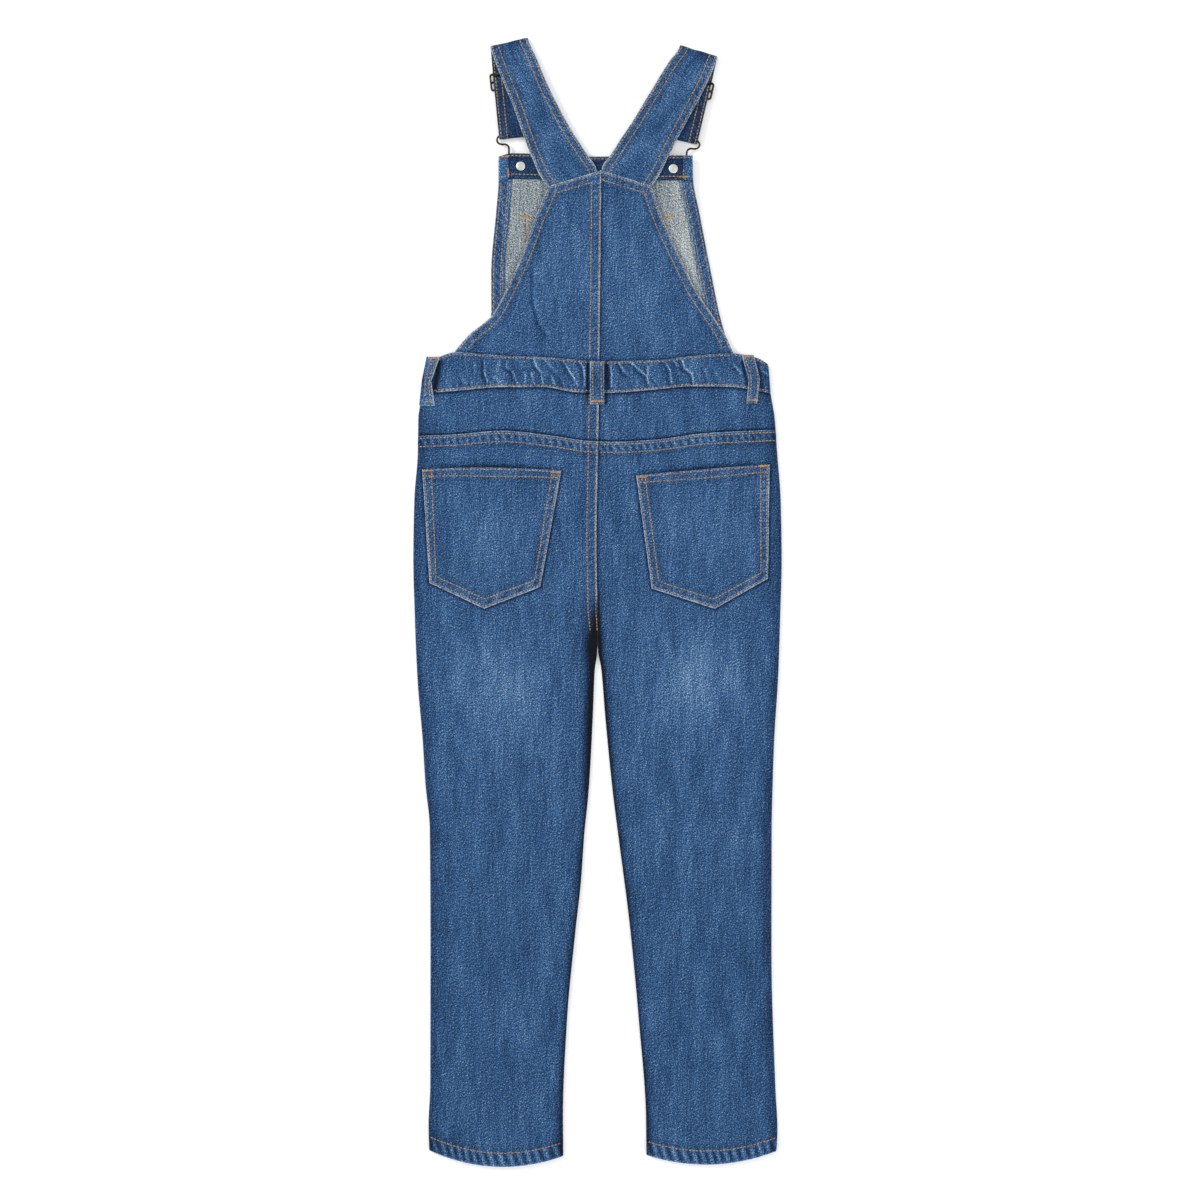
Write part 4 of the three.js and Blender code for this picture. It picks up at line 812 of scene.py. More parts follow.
for side in ("left", "right"):
    middle_x = float(SIDE[side](0)) / 2
    front_top = FRONT_BOTTOM - GAP
    length = front_top - float(leg_opening(side, middle_x))
    down = np.concatenate([[0, 0.5, 1.5, 4], between(4, length - 18, 9), length - NEAR_HEM[::-1]])[:, None]
    first, last = SIDE[side](front_top - down), inner_edge(side, front_top - down)
    first, last = np.minimum(first, last), np.maximum(first, last)
    x = columns(first, last, np.array([0, 0.3, 0.9, 2, 6]), 22)
    y = front_top + (leg_opening(side, x) - front_top) * down / length
    from_bottom = length - down
    hem = 0.7 * fall((from_bottom - LEG_HEM) / 1.4)
    hem = hem + 0.3 * rope(x, HEM_PITCH, 0.3 * from_bottom) * fall(from_bottom / 18)
    edge = np.minimum(x - first, last - x)
    ends = roll(edge, 1.2) * roll(from_bottom, 1.3)
    folds = creases(x, y, FRONT_CREASES) * np.clip(edge / 10, 0, 1)
    middle = np.stack([x, y, LEG_CLOTH / 2 + np.maximum(folds, 0)], axis=-1)
    wear_and_shade = -0.06 * fall(edge / 12) + 0.1 * bell(from_bottom, 1.6)
    front = cloth(f"front_leg_{side}_cloth", middle, (LEG_CLOTH / 2 + hem) * ends, LEG_CLOTH / 2 * ends,
                  np.stack([x, y + 900], axis=-1), wear_and_shade, [DENIM])
    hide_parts(f"front_leg_{side}")

down = np.concatenate([[0, 0.4, 1, 2.5], between(2.5, 24.5, 3), [24.5, 26, 26.6, 27]])[:, None]
y = FRONT_TOP - down
first, last = SIDE["left"](y), SIDE["right"](y)
x = columns(first, last, np.array([0, 0.4, 1.2, 4]), 59)
y = y + 0 * x
deep = np.minimum(down, FRONT_DEPTH - down)
ends = roll(np.minimum(x - first, last - x), 1.2) * roll(deep, 1.0)
band = cloth("front_waistband_cloth", np.stack([x, y, np.full_like(x, FRONT_BAND / 2)], axis=-1),
             (FRONT_BAND / 2 + 0.12 * uneven(x, y, 40, 10, 5)) * ends, FRONT_BAND / 2 * ends,
             np.stack([y, x], axis=-1), 0.1 * bell(deep, 1.4) + 0 * x, [DENIM])
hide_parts("front_waistband")

# ---------------------------------------------------------------------------
# Back waistband. A folded strip stitched along both edges with wide elastic inside,
# which draws it up into slanting gathers on each side of the centre loop.
# ---------------------------------------------------------------------------
BACK_BAND = 2.8
BAND_DEPTH = 33
BAND_ROW = 2.2
BAND_PITCH, ELASTIC_PITCH = 6.2, 9.4
WAIST_TOP = through([(-173, 234), (-157, 245.5), (-142, 249.8), (-95, 246.7), (-54, 245), (-21, 242.5),
                     (10, 241), (57, 242), (95, 246.2), (134, 248.7), (160, 244), (173, 236)])
# Sharp gathers drawn up by the elastic, as lines with their rise and half width
GATHERS = np.array([
    (-113.1, 240, -112.5, 228, 0.7, 1.1), (-112.5, 228, -110, 220.7, 0.9, 1.1),
    (-110, 220.7, -110.6, 216, 0.6, 1.1), (-90.8, 240, -91.2, 234.5, 0.9, 1.1),
    (-91.2, 234.5, -85, 230.7, 1.1, 1.0), (-85, 230.7, -79.5, 217, 0.9, 1.1),
    (-63.7, 243, -61.2, 235.7, 0.8, 1.1), (-61.2, 235.7, -55.6, 228.9, 1.1, 1.0),
    (-55.6, 228.9, -55, 219, 0.7, 1.1), (-72.5, 228, -71.9, 219.5, 0.7, 1.2),
    (-66.2, 229, -63.1, 217.5, 0.9, 1.1), (-53.7, 243, -41.2, 229.5, 0.6, 1.5),
    (-33.7, 240.7, -28.7, 232, 1.0, 1.0), (-28.7, 232, -23.1, 223.2, 1.2, 1.0),
    (-23.1, 223.2, -20, 216, 0.8, 1.2), (-18.4, 241, -14.4, 235.7, 0.9, 1.1),
    (-14.4, 235.7, -12.9, 227, 1.1, 1.1), (-12.9, 227, -12.9, 215, 1.0, 1.1),
    (-103.7, 224.5, -95.6, 217.5, 0.6, 1.4), (-123.1, 239, -121.2, 229, 0.5, 1.6),
    (-137, 228, -133, 219, 0.4, 2.0), (-98, 240, -101, 231, 0.5, 1.6), (-46, 226, -43, 217.5, 0.7, 1.3),
    (-36, 224, -33, 217, 0.6, 1.4), (12.2, 239, 14.2, 228.2, 1.0, 1.1),
    (14.2, 228.2, 14.2, 215, 0.9, 1.1), (21.3, 240, 26.3, 230.7, 1.1, 1.0),
    (26.3, 230.7, 30.6, 227, 0.9, 1.0), (33.8, 239.5, 41.3, 232, 1.1, 1.0),
    (41.3, 232, 49.4, 225.7, 1.3, 1.0), (49.4, 225.7, 51.9, 216, 1.0, 1.1),
    (50, 236, 50.4, 226, 0.9, 1.0), (66.9, 240.7, 72.5, 232, 1.0, 1.0),
    (72.5, 232, 73.8, 219.5, 0.9, 1.1), (75, 243, 80, 235.7, 0.9, 1.0),
    (85, 241, 87.5, 233.5, 1.1, 1.0), (87.5, 233.5, 94.4, 228.2, 1.3, 1.0),
    (94.4, 228.2, 96.3, 218.2, 1.0, 1.1), (107.5, 233.2, 111.3, 219.5, 0.6, 1.4),
    (136.3, 237, 143.8, 228.2, 0.8, 1.1), (163.5, 231.6, 170.3, 226.8, 0.8, 1.0),
    (57, 222, 61, 216.5, 0.6, 1.3), (118, 230, 121, 220, 0.4, 1.8), (38, 224, 40, 217, 0.5, 1.4),
    (62, 231, 60, 222, 0.5, 1.5),
])
# Where the band sinks beside the loops and is painted with shade: x at the top and foot of the place, half
# width, and how deep it sinks and how dark its painted shade is
BESIDE_LOOPS = [(-9.9, -9.9, 1.5, 0.5), (8.9, 8.9, 2.3, 0.44), (-158.6, -162, 2.2, 0.6),
                (146, 150.2, 1.5, 0.42), (160.8, 164.2, 1.5, 0.26)]


def gathered(x, y):
    """Sum of the gathers: sharp ridges, each with a broader trough on its lower left."""
    return creases(x, y, GATHERS) - 0.42 * creases(x + 2.3, y + 1.1, GATHERS * (1, 1, 1, 1, 1, 1.7))


def beside_loops(x, y):
    """Sum of the hollows beside the loops, which is also their painted shade: bell curves across lines that
    slant with the loops.
    """
    places = [dark * bell(x - upper - (lower - upper) * (235 - y) / 20, width)
              for upper, lower, width, dark in BESIDE_LOOPS]
    return sum(places) * fall((y - 239) / 4) * fall((210 - y) / 3)


down = np.array([0, 0.3, 0.8, 1.6, 2.4, 3, 3.6, 4.6, 6, 7.6, 9.2, 10.8, 12.4, 14, 15.6, 17.2, 18.8,
                 20.4, 22, 23.6, 25.2, 26.8, 28.4, 29.4, 30, 30.6, 31.4, 32.2, 32.7, BAND_DEPTH])
down = down[:, None] / BAND_DEPTH
nominal = WAIST_TOP(0) + (WAIST_BOTTOM(0) - WAIST_TOP(0)) * down
first, last = SIDE["left"](nominal) + LEG_CLOTH / 2, SIDE["right"](nominal) - LEG_CLOTH / 2
x = columns(first, last, NEAR_EDGE, 320)


def band_place(x, share, nominal):
    """Height of the band's middle and its y, at a share of the way down from its upper edge."""
    y = WAIST_TOP(x) + (WAIST_BOTTOM(x) - WAIST_TOP(x)) * share
    level = np.where(x < 0, back_layer("left", x, nominal), back_layer("right", x, nominal))
    inside = np.clip(np.minimum(x - SIDE["left"](nominal), SIDE["right"](nominal) - x) / ROUNDING, 0, 1)
    soft = 0.26 * uneven(x + 0.45 * (y - 230), (y - 230) / 3, 34, 10, 14) * inside
    return y, level + (BACK_BAND - LEG_CLOTH) / 2 + soft


def band_rise(x, y, share):
    """What stands on the band's face: gathers, the puckers along both stitched edges, and its edges."""
    deep = np.minimum(share, 1 - share) * BAND_DEPTH
    inside = np.clip(np.minimum(x - SIDE["left"](y), SIDE["right"](y) - x) / ROUNDING, 0, 1)
    ridge = 1.25 * gathered(x, y) * fall((4 - deep) / 3)
    pucker = 0.4 * rope(x, BAND_PITCH, np.where(share < 0.5, 2.0, 0)) * fall(np.abs(deep - 4) / 4.5)
    elastic = 0.42 * rope(x, ELASTIC_PITCH, 0.3 * deep) * fall((1 - share) * BAND_DEPTH / 15)
    elastic = elastic * fall((3 - deep) / 3)
    row = -0.34 * bell(deep - BAND_ROW, 0.8)
    return (ridge + pucker + elastic + row - beside_loops(x, y)) * inside


y, level = band_place(x, down, nominal)
rise = band_rise(x, y, down + 0 * x)
deep = np.minimum(down, 1 - down) * BAND_DEPTH
edge = np.minimum(x - first, last - x)
ends = roll(deep, 1.2) * roll(edge, 1.0)
worn = 0.75 + 0.25 * uneven(x, y, 30, 4, 15)
wear_and_shade = 0.46 * np.clip(gathered(x, y), -0.4, 1.1) * fall((2.6 - deep) / 2) * worn
wear_and_shade = wear_and_shade + (0.26 + 0.26 * (down > 0.5)) * bell(deep - 0.5, 0.8) * worn
puckers = rope(x, BAND_PITCH, np.where(down < 0.5, 2.0, 0))
wear_and_shade = wear_and_shade + 0.12 * (puckers - 0.5) * fall(np.abs(deep - 3.4) / 4)
drawn = 0.12 * (rope(x, ELASTIC_PITCH, 0.3 * deep) - 0.45) * fall((1 - down) * BAND_DEPTH / 15)
wear_and_shade = wear_and_shade + drawn * fall((2.6 - deep) / 2)
# The last term is painted shade in the hollows beside the loops.
wear_and_shade = wear_and_shade - 0.13 * fall(edge / 11) - 0.07 * bell(deep - BAND_ROW, 0.8) - beside_loops(x, y)
wear_and_shade = wear_and_shade - 0.1 * np.exp(-(((x + 71) / 15) ** 2) - ((y - 231.6) / 1.6) ** 2)
wear_and_shade = wear_and_shade + 0.05 * uneven(x + 0.45 * (y - 230), (y - 230) / 3, 34, 10, 14)
waistband = cloth("back_waistband_cloth", np.stack([x, y, level], axis=-1), (BACK_BAND / 2 + rise) * ends,
                  BACK_BAND / 2 * ends, np.stack([x * 1.04, y + 300], axis=-1), wear_and_shade, [DENIM])
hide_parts("back_waistband")

seams = []
for row in (BAND_ROW, BAND_DEPTH - BAND_ROW):
    px = np.arange(-171, 171.5, 1.2)
    share = np.full_like(px, row / BAND_DEPTH)
    py, pz = band_place(px, share, np.full_like(px, float(WAIST_TOP(0)) - row))
    pz = pz + BACK_BAND / 2 + band_rise(px, py, share)
    points = np.stack([px, py, pz], axis=-1)
    tilt = -np.gradient(pz, px)
    seams.append((points, np.stack([tilt, 0 * px, 1 + 0 * px], axis=-1)))
stitches = sewn("back_waistband_stitches", seams, pitch=3.7)

# ---------------------------------------------------------------------------
# Belt loops. Narrow folded strips with two stitch rows, tacked over the waistband;
# the centre one covers the back seam and the left one goes round the side.
# ---------------------------------------------------------------------------
LOOP = 1.2
LOOP_WIDTH = 12
LOOP_STITCHES = (0.2, 0.8)  # shares of the width
LOOP_PITCH = 5.5
ON_BAND = 5.2 + BACK_BAND - LEG_CLOTH / 2 + GAP + LOOP / 2
# Each loop as rows of y, left and right edge, and how far it stands out from the band
LOOP_ROWS = {
    "centre": [(240.5, -7.3, 6.3, 0), (235, -7.5, 6.3, 0.7), (226, -7.5, 6.5, 1.4), (217, -7.5, 6.5, 1.2),
               (208, -7.3, 6.7, 0.1), (203, -7.2, 6.8, -0.25), (197.5, -7.2, 6.8, -0.4)],
    "right": [(247, 144, 156, 0), (241, 146, 158.8, 0.7), (230, 149.7, 161.8, 1.4),
              (219, 151.3, 162.3, 1.2), (208.4, 150.5, 161.5, 0.2), (204, 149.7, 160.4, -0.85),
              (198.5, 149, 159.5, -1.2)],
}
# The left loop goes round the side: rows of y, its inner edge, and how far it stands out
SIDE_LOOP = [(245, -157.5, 0), (240, -158.5, 0.6), (230, -163, 1.3), (220, -165.5, 1.3),
             (211, -165.5, 0.8), (205, -164.5, 0.2), (196, -162.5, 0.1)]
LOOP_COLUMNS = np.array([0, 0.03, 0.08, 0.14, 0.2, 0.26, 0.36, 0.5, 0.64, 0.74, 0.8, 0.86, 0.92, 0.97, 1])


def loop_relief(u, along):
    """A soft groove in each stitch row and slight puckers between them."""
    rows = grooves(u, LOOP_STITCHES, 0.06)
    return -0.16 * rows + 0.2 * rope(along, LOOP_PITCH, 2 * u) * fall(np.abs(u - 0.5) / 0.6)


def loop_grid(high, low):
    """Rows from the top to the foot of a loop, closer at both ends, and the shares of its columns."""
    y = np.concatenate([[high, high - 0.3, high - 0.8], between(high - 0.8, low + 0.8, 1.1),
                        [low + 0.8, low + 0.3, low]])
    return np.meshgrid(y, LOOP_COLUMNS, indexing="ij")


def loop_strip(name, middle, u, y, shade=0):
    """The strip, worn along its edges and at its ends, in place of the plain loop."""
    ends = np.minimum(y.max() - y, y - y.min())
    share = np.minimum(u, 1 - u)
    edge = roll(share * LOOP_WIDTH, 0.7) * roll(ends, 0.8)
    wear_and_shade = (0.42 * bell(share, 0.05) + 0.14 * (rope(y, LOOP_PITCH, 2 * u) - 0.5)
            + 0.34 * bell(ends, 0.9) - 0.03 + shade)
    strip = cloth(f"belt_loop_{name}_cloth", middle, (LOOP / 2 + loop_relief(u, y)) * edge, LOOP / 2 * edge,
                  middle[..., :2] + 700, wear_and_shade, [DENIM])
    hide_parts(f"belt_loop_{name}")
    return strip


for name, rows in LOOP_ROWS.items():
    rows = np.array(rows)
    low, high = rows[:, 0].min(), rows[:, 0].max()
    left, right, lift = (through(np.stack([rows[:, 0], rows[:, k]], axis=-1)) for k in (1, 2, 3))

    def on_loop(u, y):
        return np.stack([left(y) + (right(y) - left(y)) * u, y + 0 * u, ON_BAND + lift(y) + 0 * u], axis=-1)

    y, u = loop_grid(high, low)
    loop = loop_strip(name, on_loop(u, y), u, y)
    seams = []
    for share in LOOP_STITCHES:
        py = np.arange(high - 2, low + 1.5, -1.0)
        path = on_loop(np.full_like(py, share), py)
        normal = np.stack([0 * py, -np.gradient(path[:, 2], py), 1 + 0 * py], axis=-1)
        seams.append((path + normal * (LOOP / 2 + 0.05), normal))
    if name == "centre":
        path = on_loop(np.linspace(0.02, 0.98, 9), np.full(9, high - 1.5))
        seams.append((path + np.array([0, 0, LOOP / 2 + 0.1]), np.tile([0.0, 0, 1], (9, 1))))
    stitches = sewn(f"belt_loop_{name}_stitches", seams, pitch=3.4, length=2.6)
    bars = []
    for py in {"centre": (low + 3.2,), "right": (high - 1.6, low + 3.2)}[name]:
        centre = on_loop(np.array(0.5), np.array(py))

        def loop_top(bar_x, bar_y):
            return np.full(np.shape(bar_x), centre[2] + LOOP / 2 + 0.15)

        bars += bar_tack(loop_top, centre[0], py, length=11, turn=0)
    tacks = sewn(f"belt_loop_{name}_tacks", bars, TACK_THREAD, length=1.6, pitch=1.8, width=0.6)

rows = np.array(SIDE_LOOP)
high, low = 245, 196
inner, lift = (through(np.stack([rows[:, 0], rows[:, k]], axis=-1)) for k in (1, 2))


def on_side_loop(u, y, above):
    """Round the side: from the rim over the edge and in, standing out from the band by its lift."""
    outer = SIDE["left"](y) + LEG_CLOTH / 2
    share = np.clip((y - 203) / 5, 0, 1)
    over = LEG_CLOTH / 2 + (BACK_BAND - LEG_CLOTH) * share
    return on_layer("left", outer + (inner(y) - outer) * u**1.6, y, over + GAP + LOOP / 2 + lift(y) + above)


y, u = loop_grid(high, low)
middle, _ = on_side_loop(u, y, 0)
# The shade argument is painted shade where the loop goes round the side of the band, with a lighter inner
# edge.
loop = loop_strip("left", middle, u, y, shade=0.1 * fall((1 - u) / 0.08) - 0.14 * fall(u / 0.6))
py = np.arange(high - 2, low + 1.5, -1.0)
seams = [on_side_loop(np.full_like(py, share), py, LOOP / 2 + 0.05) for share in (0.5, 0.85)]
stitches = sewn("belt_loop_left_stitches", seams, pitch=3.4, length=2.6)
bars = []
for py in (high - 1.6, low + 4.6):
    for share in np.linspace(0.3, 0.97, 16):
        step = py + np.linspace(-0.9, 0.9, 5)
        bars.append(on_side_loop(np.full(5, share), step, LOOP / 2 + 0.15))
tacks = sewn("belt_loop_left_tacks", bars, TACK_THREAD, length=1.6, pitch=1.8, width=0.6)

# ---------------------------------------------------------------------------
# Front bib, seen from inside between the straps and the back bib: the grey wrong
# side of the denim, its side edges turned in and double stitched, a dark facing
# strip along its top, and the patch pocket that is sewn on its other side.
# ---------------------------------------------------------------------------
BIB_CLOTH = 1.3
FACING = 1.1
BIB_POCKET = 1.1
BIB_HEM, BIB_ROWS, BIB_PITCH = 12.5, (2.6, 9.6), 8
FACING_DEPTH, FACING_ROWS, FACING_PITCH = 24.5, (2.4, 20.9), 6.6
WIRE_LEVEL = 3.7
BUTTON = {"left": (-76.8, 435.6), "right": (75.8, 433)}
BIB_LEFT = through([(449, -99), (421, -99), (392, -101.3), (328, -106.5), (289, -106.5),
                    (262, -125.5), (236, -144)])
BIB_RIGHT = through([(449, 95.1), (421, 95.8), (392, 101.5), (328, 114), (289, 122),
                     (262, 129.5), (236, 140)])
BIB_TOP = through([(-99, 445.4), (-86, 448.6), (-8, 445.8), (96, 446.5)])
BIB_UNDER = through([(449, 1.4), (262, 1.4), (246, 0.1), (236, 0)])
BIB_CREASES = np.array([
    (-92, 400, -88, 320, 0.5, 7), (-78, 410, -70, 350, -0.4, 7), (92, 400, 98, 330, 0.5, 7),
    (84, 410, 80, 350, -0.4, 7), (-30, 420, -24, 300, 0.3, 14), (34, 420, 30, 300, 0.3, 14),
])
WRONG_SIDE = woven("wrong_side", [
    (0.0, (40, 50, 66)), (0.3, (84, 96, 110)), (0.5, (122, 134, 142)), (0.7, (164, 171, 173)),
    (1.0, (216, 218, 214)),
], speckle=2.6, slub=0.6, lean=-0.5, sheen=0.05)


def bib_under(x, y):
    """Underside of the bib: flat on its pocket, and lifted over the buckle to a level patch at each
    button, fading out sideways and downwards."""
    button = np.where(x < 0, BUTTON["left"][0], BUTTON["right"][0])
    aside = fall((np.abs(x - button) - 13.5) / 32)
    below = fall((BIB_TOP(x) - FACING_DEPTH - y) / 50)
    return BIB_UNDER(y) + 3.6 * aside * below


def bib_columns(distance, near, count):
    """Columns and rows of the bib at distances down from its top edge."""
    nominal = BIB_TOP(0) - distance
    first, last = BIB_LEFT(nominal), BIB_RIGHT(nominal)
    x = columns(first, last, near, count)
    y = nominal + (BIB_TOP(x) - BIB_TOP(0)) * np.maximum(0, 1 - distance / 60)
    return x, y, np.minimum(x - first, last - x)


near = np.array([0, 0.4, 1, 1.8, 2.5, 3.3, 5, 7, 8.6, 9.5, 10.4, 11.8, 12.5, 13.1, 15])
length = float(BIB_TOP(0)) - 236 - GAP
down = np.concatenate([[0, 0.4, 1, 2, 3.5], between(3.5, length - 2, 2.6),
                       [length - 2, length - 0.8, length]])[:, None]
x, y, edge = bib_columns(down, near, 52)
folds = creases(x, y, BIB_CREASES) * fall((y - 360) / 60) * np.clip(edge / 16, 0, 1)
hem = (0.7 * fall(edge - BIB_HEM) + 0.3 * rope(y, BIB_PITCH, edge) * fall(np.abs(edge - 6) / 7)
       - 0.2 * grooves(edge, BIB_ROWS))
hem = hem * fall((y - BIB_TOP(0) + FACING_DEPTH + 3) / 3)
middle = np.stack([x, y, bib_under(x, y) + BIB_CLOTH / 2 + np.maximum(folds, -0.2)], axis=-1)
ends = roll(edge, 0.9) * roll(down, 0.9)
# The last term lightens the grey inside towards the right as painted light, against the shade the back bib
# casts there.
wear_and_shade = (0.08 * bell(edge - 0.45, 0.7)
        + 0.2 * (rope(y, BIB_PITCH, edge) - 0.5) * fall((edge - 10) / 3)
        + 0.2 * bell(edge - BIB_HEM + 0.6, 0.8)
        - 0.4 * fall((edge - BIB_HEM) / 2.5) * (edge > BIB_HEM)
        + 0.12 * fall((104 - x) / 60) * (edge > BIB_HEM))
turned = (edge < BIB_HEM + 0.2) | (down < 3)
bib = cloth("front_bib_cloth", middle, (BIB_CLOTH / 2 + hem + 0.1 * uneven(x, y, 40, 8, 4)) * ends,
            BIB_CLOTH / 2 * ends, np.stack([x, y], axis=-1), wear_and_shade, [WRONG_SIDE, DENIM], inside=turned)
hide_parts("front_bib")


def bib_face(px, py):
    """The wrong side of the bib, just under its stitches."""
    return bib_under(px, py) + BIB_CLOTH + 0.02


seams = []
for row in BIB_ROWS:
    py = np.arange(420, 240, -1.5)
    for px in (BIB_LEFT(py) + row, BIB_RIGHT(py) - row):
        points, normal = laid_on(bib_face, px, py)
        seams.append((points + np.array([0, 0, 0.72]), normal))
for px in (-69, -73, 66, 70):
    seams.append(laid_on(bib_face, px, np.arange(383, 268, -1.5)))
stitches = sewn("front_bib_stitches", seams)
bars = (bar_tack(bib_face, -71, 385, length=10, turn=0.05)
        + bar_tack(bib_face, 70, 386, length=10, turn=-0.05))
tacks = sewn("front_bib_tacks", bars, TACK_THREAD, length=1.7, pitch=1.9, width=0.6)

down = np.array([0, 0.3, 0.8, 1.6, 2.4, 3.2, 4.5, 6.5, 9, 11.5, 14, 16.5, 18.5, 20, 20.9, 21.7, 22.6, 23.6,
                 24.1, FACING_DEPTH])[:, None]
x, y, edge = bib_columns(down, np.array([0, 0.4, 1, 2, 3.5, 5, 7, 8.6, 9.4, 10.2, 11, 13]), 84)
level = bib_under(x, y) + BIB_CLOTH + GAP + FACING / 2
rise = (0.4 * fall((edge - 9.6) / 0.9) + 0.24 * rope(x, FACING_PITCH, down) * fall(np.abs(down - 22) / 6)
        - 0.16 * grooves(down, FACING_ROWS))
ends = roll(np.minimum(down, FACING_DEPTH - down), 0.8) * roll(edge, 0.8)
wear_and_shade = (-0.22 + 0.24 * fall((edge - 9.3) / 1.2) + 0.2 * bell(down - 0.4, 0.9)
        + 0.22 * (rope(x, FACING_PITCH, down) - 0.3) * fall(np.abs(down - 22.5) / 4)
        + 0.2 * bell(edge - 0.4, 0.7) - 0.12 * bell(edge - 10.8, 1.2)
        + 0.03 * uneven(x, y, 18, 5, 6))
facing = cloth("bib_facing_cloth", np.stack([x, y, level], axis=-1), (FACING / 2 + rise) * ends,
               FACING / 2 * ends, np.stack([y, x], axis=-1), wear_and_shade, [DENIM])
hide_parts("bib_facing")


def facing_face(px, py):
    """The face of the facing strip, just under its stitches."""
    return bib_under(px, py) + BIB_CLOTH + GAP + FACING + 0.05


def facing_end(px, py):
    """The face where the strip's ends are turned in."""
    return facing_face(px, py) + 0.35


px = np.arange(-97.5, 94.5, 1.2)
seams = [laid_on(facing_face, px, BIB_TOP(px) - row) for row in FACING_ROWS]
py = np.arange(433, 424, -1.0)
seams += [laid_on(lambda a, b: facing_face(a, b) + 0.4, px, py) for px in (-89.2, 85.8)]
stitches = sewn("bib_facing_stitches", seams, pitch=3.7)
bars = (bar_tack(facing_end, -93, 445.2, length=7, turn=0) + bar_tack(facing_end, 86, 425, length=9, turn=0)
        + bar_tack(facing_end, -89.2, 429, length=8, turn=np.pi / 2, width=1.2))
tacks = sewn("bib_facing_tacks", bars, TACK_THREAD, length=1.6, pitch=1.8, width=0.6)

# The bib pocket: its top and foot, half its width, and how much each side comes in to the foot
PATCH_TOP, PATCH_FOOT, PATCH_HALF, PATCH_TAPER = 385, 265, 70.5, 6
y, x = np.meshgrid(np.linspace(PATCH_TOP, PATCH_FOOT, 50), np.linspace(-PATCH_HALF, PATCH_HALF, 60),
                   indexing="ij")
x = x * (1 - PATCH_TAPER / PATCH_HALF * (PATCH_TOP - y) / (PATCH_TOP - PATCH_FOOT))
come_in = PATCH_TAPER * (PATCH_TOP - y) / (PATCH_TOP - PATCH_FOOT)
edge = np.minimum(np.minimum(PATCH_TOP - y, y - PATCH_FOOT), PATCH_HALF - np.abs(x) - come_in)
rise = 0.3 * fall((edge - 9) / 2) + 0.1 * uneven(x, y, 30, 8, 9)
patch_pocket = cloth("bib_pocket_cloth", np.stack([x, y, np.full_like(x, BIB_POCKET / 2)], axis=-1),
                     (BIB_POCKET / 2 + 0.1 * rise) * roll(edge, 1), BIB_POCKET / 2 * roll(edge, 1),
                     np.stack([x, y + 200], axis=-1), 0.1 * bell(edge, 1.4), [DENIM])
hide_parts("bib_pocket")

# ---------------------------------------------------------------------------
# Shoulder straps. Each is one long folded strip with two stitch rows along each
# edge: turned up round the buckle's bar, up the front, folded flat at the shoulder
# and down the back, where it widens and runs in under the back bib.
# ---------------------------------------------------------------------------
STRAP = 1.8
WIRE = 2.0
TURN = WIRE / 2 + GAP + STRAP / 2
FOLD_RADIUS = 1.4
STRAP_ROWS, STRAP_PITCH = (2.3, 8.4), 8.6
RUN_LEVEL = STRAP / 2 + 0.05
# The fold at the shoulder and the end at the buckle, each from left to right, then the run down the
# back, as rows of x, y and height of the left edge and of the right one
STRAPS = {
    "left": {
        "fold": [(-107.6, 556.4), (-69.7, 565.1)], "end": [(-98.3, 462.6), (-58.5, 466.8)],
        "run": [(-100.4, 534.5, 5.4, -61.3, 544.6, 5.2), (-91.5, 512.5, 7.5, -52.7, 523.6, 7.2),
                (-82.9, 491.4, 8.2, -43.3, 503.7, 7.5), (-75.4, 469.5, 8.6, -33.2, 484.4, 7.1),
                (-67.2, 448, 8.9, -21.9, 465.1, 6.6), (-58.2, 426.9, 8.95, -9.5, 446.6, 6.2),
                (-49.7, 414, 8.4, -1.5, 434.6, 6), (-45.5, 405, 7, 2.4, 422, 5.6)],
    },
    "right": {
        "fold": [(82.7, 557.7), (120.4, 546.1)], "end": [(60.7, 466.4), (99.6, 457.7)],
        "run": [(70.6, 539.2, 5.2, 112.6, 525.3, 5.4), (59.2, 520.4, 7.2, 102.9, 505.3, 7.5),
                (47.8, 501.5, 7.5, 92.4, 485.8, 8.2), (36.1, 482.3, 7.1, 81.8, 466.2, 8.6),
                (24.2, 464.2, 7.4, 71.7, 446.4, 9.2), (12.1, 445.8, 6.7, 61.8, 426.5, 9.1),
                (4.4, 433.5, 6, 53.9, 414, 8.4), (6, 422, 5.6, 49.5, 405, 7)],
    },
}
buckle_bars = {}

